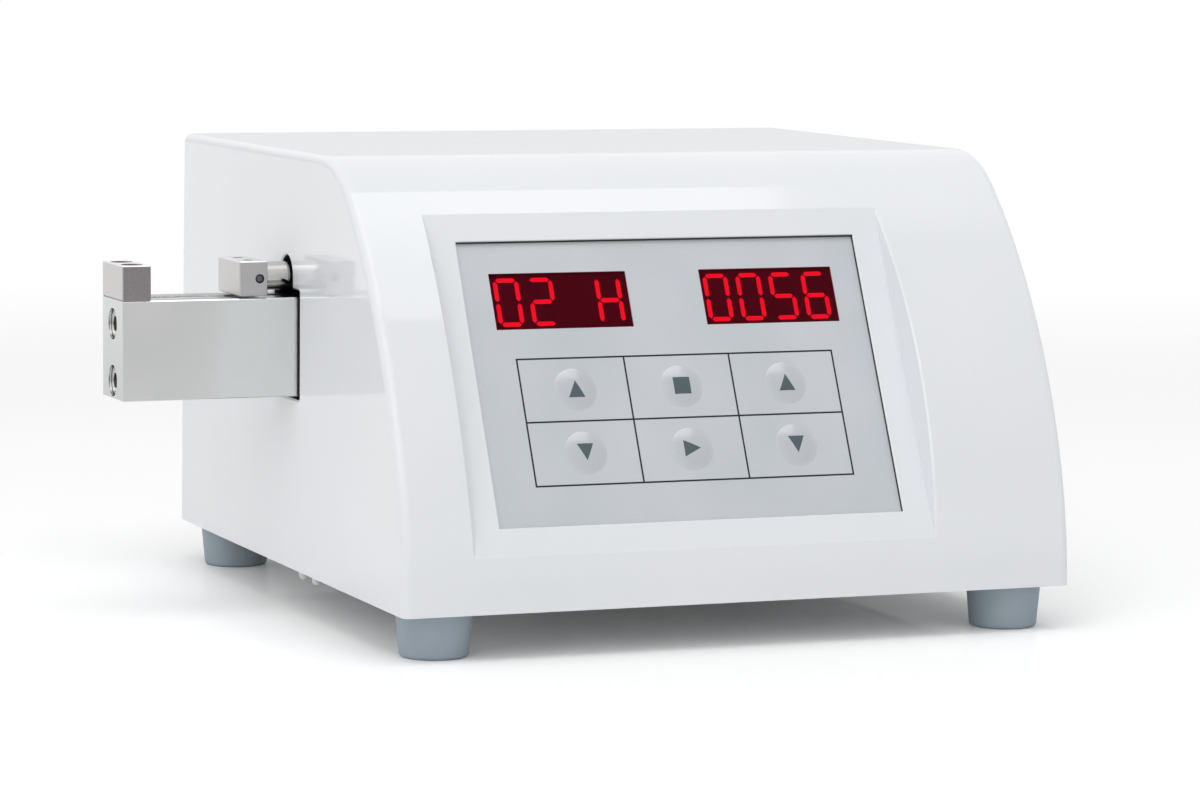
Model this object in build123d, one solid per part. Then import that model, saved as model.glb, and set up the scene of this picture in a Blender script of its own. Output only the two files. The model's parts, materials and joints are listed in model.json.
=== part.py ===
from build123d import *
import math
import os

# Tablet hardness tester. Millimetres, +Z up, the front faces -Y and the
# measuring arm sticks out to the left, -X. The origin is the centre of the
# whole object's box, on the table.

# Housing, from the camera and proportions solved from the photograph
housing_width = 241.3
housing_depth = 262.0
skirt_radius = 148.0        # lowest arc of the front, upright at the hem
skirt_sweep = 13.0          # degrees
face_radius = 200.0         # long arc of the front
face_sweep = 34.0
brow_radius = 41.0          # arc that turns the front into the flat top
back_edge_radius = 4.0
back_draft = 1.4            # degrees
side_draft = 0.15
side_edge_radius = 3.0      # the moulded edges along both sides
wall = 3.0

# Recessed facet in the front and the panel in it
facet_centre = 107.8        # from the housing's left side
facet_width = 165.5
facet_low = 18.4            # heights above the hem
facet_high = 127.3
facet_side_draft = 8.0
facet_edge = 0.6            # broken edge where its side walls meet the rounded front
panel_width = 145.0
panel_height = 100.8
panel_sink = 1.2            # the foil lies this far below the facet
panel_gap = 0.2             # round the foil and its plate
panel_edge = 0.4            # broken edge of the pocket
foil_thickness = 0.5
plate_thickness = 2.0
seat_thickness = 2.0        # ring of the housing that the plate lies on
seat_width = 4.0

# Displays and keys
window_width = 49.0
window_height = 20.0
window_side = 34.5          # window centres from the panel's sides
window_top = 21.0           # and from its top edge
window_thickness = 1.5
window_gap = 0.1
window_ledge = 1.0
display_width = 52.0
display_height = 20.6
display_thickness = 8.0
display_nose = 0.6          # the face of each module stands into its window's hole
key_diameter = 15.0
key_crown = 0.9
key_column = 38.2           # grid pitch across and down
key_row = 22.4
key_bottom = 36.6           # grid centre above the panel's bottom edge
key_travel = 0.5
key_gap = 0.08              # radial, round each key
key_flange = 1.0            # rim that holds the key under the foil
key_flange_thickness = 0.9
key_slack = 0.05            # along the travel
switch_size = 12.0
switch_height = 3.5
switch_stem_diameter = 6.0
board_thickness = 1.6
display_board_side_gap = 2.5   # to the housing's seat ring
display_board_end_gap = 0.4
pillar_diameter = 5.0
pillar_inset = 3.0          # pillar centres from a board's edges

# Measuring arm and jaws
arm_reach = 62.0            # past the housing's left side
arm_thickness = 26.0
arm_height = 34.4
arm_front = 115.4           # from the housing's front
arm_top = 95.4              # above the hem
arm_chamfer = 0.4
arm_groove_width = 9.0
arm_groove_depth = 0.4
arm_screw_diameter = 6.0
arm_screw_head = 10.0
arm_screw_head_height = 6.0
arm_screw_socket = 5.0      # across the flats
arm_socket_depth = 3.0
arm_screw_grip = 16.0       # length of each screw in the drive frame
arm_screw_bore = 10.8
arm_screw_depth = 7.0
arm_screw_high = 8.7        # centres below the arm's top
arm_screw_low = 28.3
jaw_width = 10.0
jaw_height = 12.0
jaw_gap = 31.5              # for tablets of up to about 30 mm
jaw_rise = 0.7              # moving jaw above the arm
jaw_screw_diameter = 4.0
jaw_screw_head = 7.0
jaw_screw_head_height = 4.0
jaw_screw_bore = 7.6
jaw_screw_socket = 3.0
jaw_socket_depth = 2.0
jaw_screw_grip = 6.0        # depth of the holes in the arm
jaw_screw_spacing = 13.0
jaw_chamfer = 0.3
grub_diameter = 3.2
grub_length = 5.0
grub_inset = 2.8            # from the moving jaw's housing side
top_grub_diameter = 3.6
top_grub_spacing = 11.8
top_grub_depth = 2.8
hole_sink = 0.5             # small screws lie this far below their face
thread_gap = 0.05           # radial, round screws in their holes

# Arm opening in the housing's left side
opening_side_gap = 2.4
opening_low_gap = 1.4
opening_high_gap = 2.5
opening_corner = 1.2
arch_gap = 2.2              # round the push rod
opening_edge = 0.5          # broken edge of the opening

# Ram and spindle
ram_travel = 31.0
rod_diameter = 10.0
rod_seat = 7.0              # depth of the rod in the moving jaw
rod_spigot_diameter = 6.0
rod_spigot = 5.0
cell_length = 18.0
cell_width = 12.0
cell_height = 26.0
cell_slot = 2.0
cell_slot_spacing = 13.0
cell_web = 4.0              # metal left at the end of each slot
carriage_end = 4.0          # solid end of the carriage at the load cell
carriage_width = 30.0
carriage_height = 30.0
spindle_diameter = 8.0
spindle_room = 1.0          # radial, inside the carriage
spindle_end_room = 3.0
nut_diameter = 14.0
nut_length = 20.0
nut_flange_diameter = 24.0
nut_flange = 3.0
running_gap = 0.05          # radial, at every running fit
press_gap = 0.01            # radial, at the bush and the bearing
rail_width = 12.0
rail_height = 8.0
runner_width = 27.0
runner_length = 34.0
runner_rise = 3.0           # runner's top above the rail's
runner_lift = 2.0           # runner's underside above the frame
runner_gap = 0.1
stop_gap = 3.0              # between the ram and each tower at the ends
flag_thickness = 0.8
flag_drop = 9.0
flag_length = 6.0
flag_gap = 0.7              # under the flag, in the sensor's slot

# Drive frame
frame_setback = 12.0        # from the housing's left side to the frame
frame_width = 44.0
frame_floor = 12.0
bush_diameter = 19.0
bush_length = 29.0
bush_groove = 1.3           # retaining grooves near both ends
bush_groove_depth = 0.65
bush_groove_place = 3.5
guide_tower = 32.0
bearing_diameter = 22.0
bearing_width = 7.0
bearing_tower = 12.0
bearing_shield = 0.5        # sunk shields between its two rings
bearing_shield_outer = 18.5
bearing_shield_inner = 12.5
bearing_lip = 3.0           # radial, in front of the bearing
coupling_diameter = 19.0
coupling_length = 18.0
coupling_grip = 8.0         # length of each shaft in the coupling
coupling_slit = 1.2
coupling_room = 2.0         # from the bearing tower
motor_size = 42.3
motor_length = 34.0
motor_cap = 8.0             # end caps, proud of the laminations
motor_step = 0.6
motor_corner = 5.0
motor_boss_diameter = 22.0
motor_boss = 2.0
motor_boss_room = 1.0
motor_shaft_diameter = 5.0
motor_shaft_depth = 28.0
motor_hole_spacing = 31.0
motor_pillar_diameter = 7.0
sensor_length = 12.0
sensor_width = 6.0
sensor_height = 9.0
sensor_slot = 2.6
leg_flange = 5.0
leg_web = 8.0
leg_length = 30.0
leg_screw_diameter = 5.0
leg_screw_head = 9.0
leg_screw_spacing = 28.0

# Base
foot_height = 15.5          # floor to the housing's hem
foot_top_diameter = 26.0
foot_bottom_diameter = 23.0
foot_edge_radius = 1.5
foot_side = 16.6            # foot centres from the housing's sides
foot_front = 18.0
foot_back = 18.0
foot_screw_diameter = 5.0
foot_screw_head = 8.5
foot_screw_head_height = 5.0
foot_bore = 9.5
foot_bore_depth = 9.0
base_thickness = 2.5
base_recess = 1.0           # base plate's underside above the hem
base_gap = 0.3
boss_diameter = 9.0
boss_side = 7.0             # boss centres from the housing's sides
boss_front = 45.0
boss_back = 42.0
boss_height = 24.0
boss_core = 2.6
rib_thickness = 2.0
rib_depth = 6.0
rib_height = 100.0
cover_screw_diameter = 3.0
cover_screw_head = 6.0
cover_screw_head_height = 2.0
cover_screw_length = 14.0
rivet_gap = 0.4             # between a rivet's head and the housing's wall
rivet_front = 108.2
rivet_spacing = 15.0
rivet_drop = 4.3            # their domed ends hang this far below the hem
rivet_head = 3.4
rivet_stem = 2.4

# Back
back_opening_width = 190.0
back_opening_low = 12.0
back_opening_height = 100.0
rear_panel_inset = 9.0      # panel's outer face from the housing's back
rear_panel_thickness = 2.0
rear_panel_overlap = 6.0
back_lip = 2.0              # frame round the opening, as far as the rear panel
rear_panel_foot = 12.0
inlet_place = 184.0         # centres from the housing's left side
inlet_rise = 34.0           # centres above the hem
inlet_flange_width = 50.0
inlet_flange_height = 27.0
inlet_flange = 3.0
inlet_corner = 5.0
inlet_body_width = 28.0
inlet_body_height = 21.0
inlet_body_depth = 20.0
inlet_hole_width = 24.4
inlet_hole_height = 16.6
inlet_hole_depth = 18.0
inlet_hole_chamfer = 4.6
inlet_screw_spacing = 40.0
inlet_screw_hole = 3.4
pin_spacing = 14.0
pin_width = 2.0
pin_height = 4.0
pin_offset = 2.0            # live pins below the centre, earth above it
pin_length = 15.0
pin_tail = 8.0
rocker_rise = 72.0
bezel_width = 25.0
bezel_height = 32.0
bezel_rim = 2.0
bezel_body_width = 21.0
bezel_body_height = 28.0
bezel_depth = 18.0
rocker_width = 16.0
rocker_radius = 11.5        # its ends are arcs about the pivot
rocker_rise_face = 2.6      # the middle of its face from the pivot
rocker_tilt = 10.0          # degrees each way
rocker_gap = 0.3
rocker_back = 3.0
pivot_diameter = 3.0
pivot_length = 1.2
pivot_sink = 0.5            # pivot behind the bezel's face
port_place = 60.0
port_rise = 34.0
port_flange_width = 30.8
port_flange_height = 12.5
port_flange = 1.2
port_nose_width = 17.0
port_nose_height = 8.6
port_nose_lean = 1.2        # each side leans in by this much towards the bottom
port_corner = 2.0
port_nose = 5.0
port_body_depth = 9.0
port_hole_spacing = 25.0

# Electronics on the base
main_board_side = 40.0      # corner nearest the housing's front left
main_board_front = 28.0
main_board_width = 150.0
main_board_depth = 66.0
main_board_lift = 8.0
processor_place = 14.0      # places are from the board's left and front edges
processor_front = 16.0
processor_size = 18.0
processor_height = 2.0
connector_place = 12.0
connector_pitch = 48.0
connector_front = 54.0
connector_width = 22.0
connector_depth = 6.0
connector_height = 8.0
connectors = 3
sink_place = 48.0
sink_front = 16.0
sink_size = 24.0
sink_height = 10.0
sink_foot = 2.5
sink_fin = 1.2
sink_fins = 7
capacitor_place = 94.0
capacitor_front = 28.0
capacitor_pitch = 14.0
capacitors = 3
capacitor_diameter = 8.0
capacitor_height = 12.0
supply_side_gap = 4.0       # to the drive frame's right end
supply_back_gap = 12.0      # to the inlet's tails
supply_width = 56.0
supply_depth = 80.0
supply_height = 32.0
supply_lid = 1.0
supply_lid_drop = 12.0

# Places that follow from the sizes
side_left = (arm_reach - housing_width) / 2
side_right = side_left + housing_width
arm_end = side_left - arm_reach
front = -housing_depth / 2
back = housing_depth / 2
hem = foot_height
brow_sweep = 90.0 - skirt_sweep - face_sweep
base_under = hem + base_recess
base_top = base_under + base_thickness
arm_y = front + arm_front + arm_thickness / 2
arm_high = hem + arm_top
arm_low = arm_high - arm_height
rod_z = arm_high + jaw_rise + jaw_height / 2
jaw_left = arm_end + jaw_width + jaw_gap
jaw_right = jaw_left + jaw_width
frame_left = side_left + frame_setback
tower_right = frame_left + guide_tower
cell_left = tower_right + stop_gap + ram_travel
cell_right = cell_left + cell_length
carriage_length = nut_length + ram_travel + carriage_end
carriage_right = cell_right + carriage_length
bearing_tower_left = carriage_right + stop_gap
frame_right = bearing_tower_left + bearing_tower
coupling_left = frame_right + coupling_room
coupling_right = coupling_left + coupling_length
motor_face = coupling_right + motor_boss_room + motor_boss
frame_deck = arm_low + frame_floor
frame_top = rod_z + motor_size / 2
frame_back = arm_y + frame_width / 2
rail_top = frame_deck + rail_height
runner_top = rail_top + runner_rise
rear_face = back - rear_panel_inset
rivet_x = side_left + wall + rivet_gap + rivet_head / 2
window_spacing = panel_width - 2 * window_side
window_rise = panel_height / 2 - window_top
key_drop = panel_height / 2 - key_bottom
display_board_width = panel_width - 2 * (seat_width + display_board_side_gap)
display_board_height = panel_height - 2 * (seat_width + display_board_end_gap)
back_opening_left = (side_left + side_right - back_opening_width) / 2
back_opening_right = back_opening_left + back_opening_width
back_opening_bottom = hem + back_opening_low
back_opening_top = back_opening_bottom + back_opening_height


def block(x0, x1, y0, y1, z0, z1):
    """A box between two corners."""
    return Pos((x0 + x1) / 2, (y0 + y1) / 2, (z0 + z1) / 2) * Box(x1 - x0, y1 - y0, z1 - z0)


def bar_x(diameter, x0, x1, y, z):
    """A round bar along X."""
    return Pos((x0 + x1) / 2, y, z) * Rot(0, 90, 0) * Cylinder(diameter / 2, x1 - x0)


def bar_y(diameter, y0, y1, x, z):
    """A round bar along Y."""
    return Pos(x, (y0 + y1) / 2, z) * Rot(90, 0, 0) * Cylinder(diameter / 2, y1 - y0)


def bar_z(diameter, z0, z1, x, y):
    """A round bar along Z."""
    return Pos(x, y, (z0 + z1) / 2) * Cylinder(diameter / 2, z1 - z0)


# ---------------------------------------------------------------- housing

def side_profile(inset):
    """The housing seen from its side, as front-to-back and height above the hem."""
    skirt = JernArc((inset, 0), (0, 1), skirt_radius - inset, -skirt_sweep)
    face = JernArc(skirt @ 1, skirt % 1, face_radius - inset, -face_sweep)
    brow = JernArc(face @ 1, face % 1, brow_radius - inset, -brow_sweep)
    lean = math.tan(math.radians(back_draft))
    heel = housing_depth - inset / math.cos(math.radians(back_draft))
    top = brow @ 1
    rear = FilletPolyline(top, (heel - top.Y * lean, top.Y), (heel, 0), radius=back_edge_radius)
    hem_line = Line((heel, 0), (inset, 0))
    return make_face(skirt.edges() + face.edges() + brow.edges() + rear.edges() + hem_line.edges())


def front_profile(inset, height):
    """The housing seen from the front: both sides lean in by the draft."""
    lean = height * math.tan(math.radians(side_draft))
    left = side_left + inset
    right = side_right - inset
    corners = [(left, hem), (right, hem), (right - lean, hem + height), (left + lean, hem + height)]
    return make_face(Polyline(*corners, close=True).edges())


def housing_form(inset):
    """The housing's outer form, moved in by inset."""
    start = Plane(origin=(side_left + inset, front, hem), x_dir=(0, 1, 0), z_dir=(1, 0, 0))
    long_form = extrude(start * side_profile(inset), amount=housing_width - 2 * inset)
    height = long_form.bounding_box().size.Z
    sides = extrude(Plane.XZ * front_profile(inset, height), amount=housing_depth, both=True)
    return long_form & sides


def front_line(height):
    """How far behind the hem the housing's front lies at a height above it."""
    turn = math.radians(skirt_sweep)
    skirt_top = skirt_radius * math.sin(turn)
    if height <= skirt_top:
        return skirt_radius - math.sqrt(skirt_radius ** 2 - height ** 2)
    centre_y = skirt_radius * (1 - math.cos(turn)) + face_radius * math.cos(turn)
    centre_z = skirt_top - face_radius * math.sin(turn)
    return centre_y - math.sqrt(face_radius ** 2 - (height - centre_z) ** 2)


facet_run = front_line(facet_high) - front_line(facet_low)
facet_length = math.hypot(facet_run, facet_high - facet_low)
facet_tilt = math.atan2(facet_run, facet_high - facet_low)
facet_x = side_left + facet_centre
# The panel's own frame: X to the right, Y up the slope, Z out of the facet
panel_frame = Plane(
    origin=(
        facet_x,
        front + front_line(facet_low) + facet_length / 2 * math.sin(facet_tilt),
        hem + facet_low + facet_length / 2 * math.cos(facet_tilt),
    ),
    x_dir=(1, 0, 0),
    z_dir=(0, -math.cos(facet_tilt), math.sin(facet_tilt)),
)
foil_face = -panel_sink
plate_face = foil_face - foil_thickness
plate_rear = plate_face - plate_thickness
seat_rear = plate_rear - seat_thickness
board_face = plate_rear - display_thickness
board_rear = board_face - board_thickness


def facet_wedge(margin, floor):
    """Everything in front of the facet's floor, between side walls with draft."""
    reach = facet_length / 2
    half = facet_width / 2 + margin
    spread = (reach - floor) * math.tan(math.radians(facet_side_draft))
    corners = [(-half, floor), (half, floor), (half + spread, reach), (-half - spread, reach)]
    section = make_face(Polyline(*corners, close=True).edges())
    return panel_frame * extrude(Plane.XZ * section, amount=facet_length, both=True)


def facet_rims(cover):
    """The edges between the facet's side walls and the rounded front."""
    rims = []
    for edge in cover.edges():
        place = panel_frame.to_local_coords(edge.center())
        beside = abs(abs(place.X) - facet_width / 2) < wall
        along = abs(place.Y) < facet_length / 2
        if beside and along and place.Z > facet_edge:
            rims.append(edge)
    return rims


def arm_opening():
    """The keyhole in the left side that the arm and the push rod come out of, its edge broken."""
    y0 = arm_y - arm_thickness / 2 - opening_side_gap
    y1 = arm_y + arm_thickness / 2 + opening_side_gap
    z0 = arm_low - opening_low_gap
    z1 = arm_high + opening_high_gap
    slot = Pos((y0 + y1) / 2, (z0 + z1) / 2) * RectangleRounded(y1 - y0, z1 - z0, opening_corner)
    radius = rod_diameter / 2 + arch_gap
    arch = Pos(arm_y, rod_z) * Circle(radius)
    throat = Pos(arm_y, (rod_z + arm_high) / 2) * Rectangle(2 * radius, rod_z - arm_high)
    keyhole = slot + arch + throat
    hole = extrude(Plane.YZ.offset(side_left - wall) * keyhole, amount=3 * wall)
    lean = (arm_high - hem) * math.tan(math.radians(side_draft))
    rim = Plane.YZ.offset(side_left + lean + opening_edge)
    return hole + extrude(rim * keyhole, amount=-2 * opening_edge, taper=-45)


def housing_cover():
    outer = housing_form(0)
    flanks = outer.faces().sort_by(Axis.X)
    rims = flanks[0].edges().sort_by(Axis.Z)[1:] + flanks[-1].edges().sort_by(Axis.Z)[1:]
    outer = fillet(rims, side_edge_radius)
    cover = outer - facet_wedge(0, 0)
    cover = chamfer(facet_rims(cover), facet_edge)
    hollow = housing_form(wall) - facet_wedge(wall, seat_rear)
    cover -= hollow
    bosses = []
    for x, y, toward in boss_places():
        core = bar_z(boss_diameter, base_top, base_top + boss_height, x, y)
        root = x - toward * boss_side
        rib = block(
            min(root, root + toward * (wall + rib_depth)),
            max(root, root + toward * (wall + rib_depth)),
            y - rib_thickness / 2,
            y + rib_thickness / 2,
            base_top,
            base_top + rib_height,
        )
        bosses.append(core + rib)
    for boss in bosses:
        cover += boss & housing_form(wall / 2)
    for x, y, toward in boss_places():
        cover -= bar_z(boss_core, base_top, base_top + cover_screw_length, x, y)
    pocket = Box(panel_width + 2 * panel_gap, panel_height + 2 * panel_gap, 2 * -plate_rear)
    mouth = Rectangle(panel_width + 2 * panel_gap, panel_height + 2 * panel_gap)
    pocket += Pos(0, 0, -panel_edge) * extrude(mouth, amount=2 * panel_edge, taper=-45)
    window = Box(panel_width - 2 * seat_width, panel_height - 2 * seat_width, 4 * -seat_rear)
    cover -= panel_frame * (pocket + window)
    cover -= arm_opening()
    lip = back_opening_block(back_lip) & housing_form(wall / 2)
    return cover + lip - back_opening_block(0)


def back_opening_block(margin):
    """The opening in the back, from the rear panel outwards, widened by margin."""
    return block(
        back_opening_left - margin,
        back_opening_right + margin,
        rear_face,
        back + wall,
        back_opening_bottom - margin,
        back_opening_top + margin,
    )


def boss_places():
    """Centre of each screw boss and the way from its wall into the housing."""
    places = []
    for y in (front + boss_front, back - boss_back):
        places.append((side_left + boss_side, y, 1))
        places.append((side_right - boss_side, y, -1))
    return places


# ---------------------------------------------------------------- base

def foot_places():
    left = side_left + foot_side
    right = side_right - foot_side
    near = front + foot_front
    far = back - foot_back
    return {
        "foot_front_left": (left, near),
        "foot_front_right": (right, near),
        "foot_rear_left": (left, far),
        "foot_rear_right": (right, far),
    }


def leg_screw_places():
    places = []
    for x in leg_centres().values():
        for side in (-1, 1):
            places.append((x, arm_y + side * leg_screw_spacing / 2))
    return places


def rivet_places():
    y0 = front + rivet_front
    return [(rivet_x, y0), (rivet_x, y0 + rivet_spacing)]


def base_plate():
    inset = wall + base_gap
    plate = block(
        side_left + inset,
        side_right - inset,
        front + inset,
        back - inset,
        base_under,
        base_top,
    )
    for x, y in foot_places().values():
        plate -= bar_z(foot_screw_diameter + 2 * thread_gap, base_under, base_top, x, y)
    for x, y, toward in boss_places():
        plate -= bar_z(cover_screw_diameter + 2 * thread_gap, base_under, base_top, x, y)
    for x, y in leg_screw_places():
        plate -= leg_screw_form(x, y, thread_gap)
    for x, y in rivet_places():
        plate -= bar_z(rivet_stem + 2 * thread_gap, base_under, base_top, x, y)
    return plate


def foot(x, y):
    rise = base_under
    top = foot_top_diameter / 2
    bottom = foot_bottom_diameter / 2
    corners = [(0, 0), (bottom, 0), (top, rise), (0, rise)]
    section = make_face(Polyline(*corners, close=True).edges())
    section = fillet(section.vertices().sort_by(Axis.Y)[:2].sort_by(Axis.X)[-1], foot_edge_radius)
    shape = revolve(Plane.XZ * section, axis=Axis.Z)
    shape -= bar_z(foot_bore, 0, foot_bore_depth, 0, 0)
    shape -= bar_z(foot_screw_diameter + 2 * thread_gap, 0, rise, 0, 0)
    return Pos(x, y, 0) * shape


def screw_z(diameter, length, head, head_height, x, y, seat, way):
    """A round-headed screw along Z: its head's underside at seat, its shank the way given."""
    head_end = seat - way * head_height
    tip = seat + way * length
    shank = bar_z(diameter, min(seat, tip), max(seat, tip), x, y)
    return shank + bar_z(head, min(seat, head_end), max(seat, head_end), x, y)


def foot_screws():
    length = base_top + 2 * base_recess - foot_bore_depth
    return [
        screw_z(foot_screw_diameter, length, foot_screw_head, foot_screw_head_height,
                x, y, foot_bore_depth, 1)
        for x, y in foot_places().values()
    ]


def cover_screws():
    length = base_thickness + cover_screw_length - cover_screw_diameter
    shank = boss_core - 2 * thread_gap
    screws = []
    for x, y, toward in boss_places():
        screw = screw_z(shank, length, cover_screw_head, cover_screw_head_height, x, y, base_under, 1)
        screws.append(screw)
    return screws


def leg_screw_form(x, y, gap):
    """A countersunk screw, flush with the base plate's underside."""
    drop = (leg_screw_head - leg_screw_diameter) / 2
    cone = Pos(x, y, base_under + drop / 2) * Cone(
        leg_screw_head / 2 + gap, leg_screw_diameter / 2 + gap, drop
    )
    return cone + bar_z(leg_screw_diameter + 2 * gap, base_under, base_top + leg_flange, x, y)


def base_rivets():
    """Push-in pegs: a head with a domed end under the base plate, a stem through it."""
    rivets = []
    radius = rivet_head / 2
    dome = hem - rivet_drop + radius
    for x, y in rivet_places():
        ball = Pos(x, y, dome) * Sphere(radius)
        end = ball & block(x - radius, x + radius, y - radius, y + radius, dome - radius, dome)
        head = bar_z(rivet_head, dome, base_under, x, y)
        rivets.append(end + head + bar_z(rivet_stem, base_under, base_top, x, y))
    return rivets


# ---------------------------------------------------------------- panel

def window_centres():
    return {
        "left": (-window_spacing / 2, window_rise),
        "right": (window_spacing / 2, window_rise),
    }


def key_centres():
    """Key names with their centres on the panel."""
    names = [
        ["key_upper_left", "key_stop", "key_upper_right"],
        ["key_lower_left", "key_start", "key_lower_right"],
    ]
    centres = {}
    for row, line in enumerate(names):
        for column, name in enumerate(line):
            x = (column - 1) * key_column
            y = (0.5 - row) * key_row - key_drop
            centres[name] = (x, y)
    return centres


def on_panel(width, height, near, far, x=0.0, y=0.0):
    """A plate parallel to the panel, from near to far along the panel's normal."""
    return Pos(x, y, (near + far) / 2) * Box(width, height, near - far)


def disc_on_panel(diameter, near, far, x, y):
    return Pos(x, y, (near + far) / 2) * Cylinder(diameter / 2, near - far)


def keypad_foil():
    foil = on_panel(panel_width, panel_height, foil_face, plate_face)
    for x, y in window_centres().values():
        foil -= on_panel(window_width + 2 * window_gap, window_height + 2 * window_gap,
                         foil_face, plate_face, x, y)
    for x, y in key_centres().values():
        foil -= disc_on_panel(key_diameter + 2 * key_gap, foil_face, plate_face, x, y)
    return panel_frame * foil


def keypad_plate():
    plate = on_panel(panel_width, panel_height, plate_face, plate_rear)
    ledge = foil_face - window_thickness
    for x, y in window_centres().values():
        plate -= on_panel(window_width + 2 * window_gap, window_height + 2 * window_gap,
                          plate_face, ledge, x, y)
        plate -= on_panel(window_width - 2 * window_ledge, window_height - 2 * window_ledge,
                          plate_face, plate_rear, x, y)
    for x, y in key_centres().values():
        bore = key_diameter + 2 * key_flange + 2 * key_gap
        plate -= disc_on_panel(bore, plate_face, plate_rear, x, y)
    return panel_frame * plate


def window(x, y):
    return panel_frame * on_panel(
        window_width, window_height, foil_face, foil_face - window_thickness, x, y
    )


def display(x, y):
    """A four-digit module: its body behind the plate, its nose in the window's hole."""
    body = on_panel(display_width, display_height, plate_rear, board_face, x, y)
    inner_width = window_width - 2 * window_ledge - 2 * window_gap
    inner_height = window_height - 2 * window_ledge - 2 * window_gap
    nose = on_panel(inner_width, inner_height, plate_rear + display_nose, plate_rear, x, y)
    return panel_frame * (body + nose)


def key(x, y):
    """A domed key: its cap in the foil's hole, its flange under the foil."""
    flange_top = plate_face - key_slack
    flange_low = flange_top - key_flange_thickness
    ball = ((key_diameter / 2) ** 2 + key_crown ** 2) / (2 * key_crown)
    cap = disc_on_panel(key_diameter, foil_face + key_crown, flange_low, x, y)
    cap &= Pos(x, y, foil_face + key_crown - ball) * Sphere(ball)
    flange = disc_on_panel(key_diameter + 2 * key_flange, flange_top, flange_low, x, y)
    return panel_frame * (cap + flange)


def key_switches():
    """One tall push switch on the board behind each key."""
    key_low = plate_face - key_slack - key_flange_thickness
    stem_top = key_low - key_travel - key_slack
    switches = []
    for x, y in key_centres().values():
        body = on_panel(switch_size, switch_size, board_face + switch_height, board_face, x, y)
        stem = disc_on_panel(switch_stem_diameter, stem_top, board_face + switch_height, x, y)
        switches.append(panel_frame * (body + stem))
    return switches


def board_pillars():
    pillars = []
    for x in (-1, 1):
        for y in (-1, 1):
            px = x * (display_board_width / 2 - pillar_inset)
            py = y * (display_board_height / 2 - pillar_inset)
            pillars.append(panel_frame * disc_on_panel(pillar_diameter, plate_rear, board_face, px, py))
    return pillars


def display_board():
    return panel_frame * on_panel(display_board_width, display_board_height, board_face, board_rear)


# ---------------------------------------------------------------- arm and jaws

def arm_screw_heights():
    return (arm_high - arm_screw_high, arm_high - arm_screw_low)


def measuring_arm():
    y0 = arm_y - arm_thickness / 2
    y1 = arm_y + arm_thickness / 2
    arm = block(arm_end, frame_left, y0, y1, arm_low, arm_high)
    arm = chamfer(arm.edges().filter_by(Axis.X), arm_chamfer)
    groove_y = arm_y - arm_groove_width / 2
    arm -= block(
        arm_end + jaw_width, frame_left, groove_y, groove_y + arm_groove_width,
        arm_high - arm_groove_depth, arm_high,
    )
    for z in arm_screw_heights():
        arm -= bar_x(arm_screw_bore, arm_end, arm_end + arm_screw_depth, arm_y, z)
        arm -= bar_x(arm_screw_diameter + 2 * thread_gap, arm_end, frame_left, arm_y, z)
    for y in jaw_screw_places():
        arm -= bar_z(jaw_screw_diameter + 2 * thread_gap, arm_high - jaw_screw_grip, arm_high,
                     arm_end + jaw_width / 2, y)
    return arm


def socket_x(x0, depth, y, z):
    """A hexagon socket sunk along +X."""
    hexagon = Plane.YZ.offset(x0) * (Pos(y, z) * RegularPolygon(
        arm_screw_socket / 2, 6, major_radius=False))
    return extrude(hexagon, amount=depth)


def arm_screws():
    """Long socket screws from the arm's end into the drive frame."""
    screws = []
    seat = arm_end + arm_screw_depth
    tip = frame_left + arm_screw_grip
    for z in arm_screw_heights():
        head = bar_x(arm_screw_head, seat - arm_screw_head_height, seat, arm_y, z)
        head -= socket_x(seat - arm_screw_head_height, arm_socket_depth, arm_y, z)
        screws.append(head + bar_x(arm_screw_diameter, seat, tip, arm_y, z))
    return screws


def jaw_screw_places():
    return (arm_y - jaw_screw_spacing / 2, arm_y + jaw_screw_spacing / 2)


def fixed_jaw():
    y0 = arm_y - arm_thickness / 2
    y1 = arm_y + arm_thickness / 2
    top = arm_high + jaw_height
    jaw = block(arm_end, arm_end + jaw_width, y0, y1, arm_high, top)
    jaw = chamfer(jaw.edges(), jaw_chamfer)
    middle = arm_end + jaw_width / 2
    for y in jaw_screw_places():
        jaw -= bar_z(jaw_screw_bore, top - jaw_screw_head_height - hole_sink, top, middle, y)
        jaw -= bar_z(jaw_screw_diameter + 2 * thread_gap, arm_high, top, middle, y)
    return jaw


def jaw_screws():
    seat = arm_high + jaw_height - jaw_screw_head_height - hole_sink
    length = seat - arm_high + jaw_screw_grip - thread_gap
    screws = []
    for y in jaw_screw_places():
        screw = screw_z(jaw_screw_diameter, length, jaw_screw_head, jaw_screw_head_height,
                        arm_end + jaw_width / 2, y, seat, -1)
        head_top = seat + jaw_screw_head_height
        hexagon = Plane.XY.offset(head_top) * (Pos(arm_end + jaw_width / 2, y) * RegularPolygon(
            jaw_screw_socket / 2, 6, major_radius=False))
        screws.append(screw - extrude(hexagon, amount=-jaw_socket_depth))
    return screws


def top_grub_places():
    middle = jaw_left + jaw_width / 2
    return ((middle, arm_y - top_grub_spacing / 2), (middle, arm_y + top_grub_spacing / 2))


def moving_jaw():
    y0 = arm_y - arm_thickness / 2
    y1 = arm_y + arm_thickness / 2
    low = arm_high + jaw_rise
    top = low + jaw_height
    jaw = block(jaw_left, jaw_right, y0, y1, low, top)
    jaw = chamfer(jaw.edges(), jaw_chamfer)
    jaw -= bar_x(rod_diameter + 2 * thread_gap, jaw_right - rod_seat, jaw_right, arm_y, rod_z)
    jaw -= bar_y(grub_diameter, y0, arm_y, jaw_right - grub_inset, rod_z)
    for x, y in top_grub_places():
        jaw -= bar_z(top_grub_diameter, top - top_grub_depth, top, x, y)
    return jaw


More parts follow.
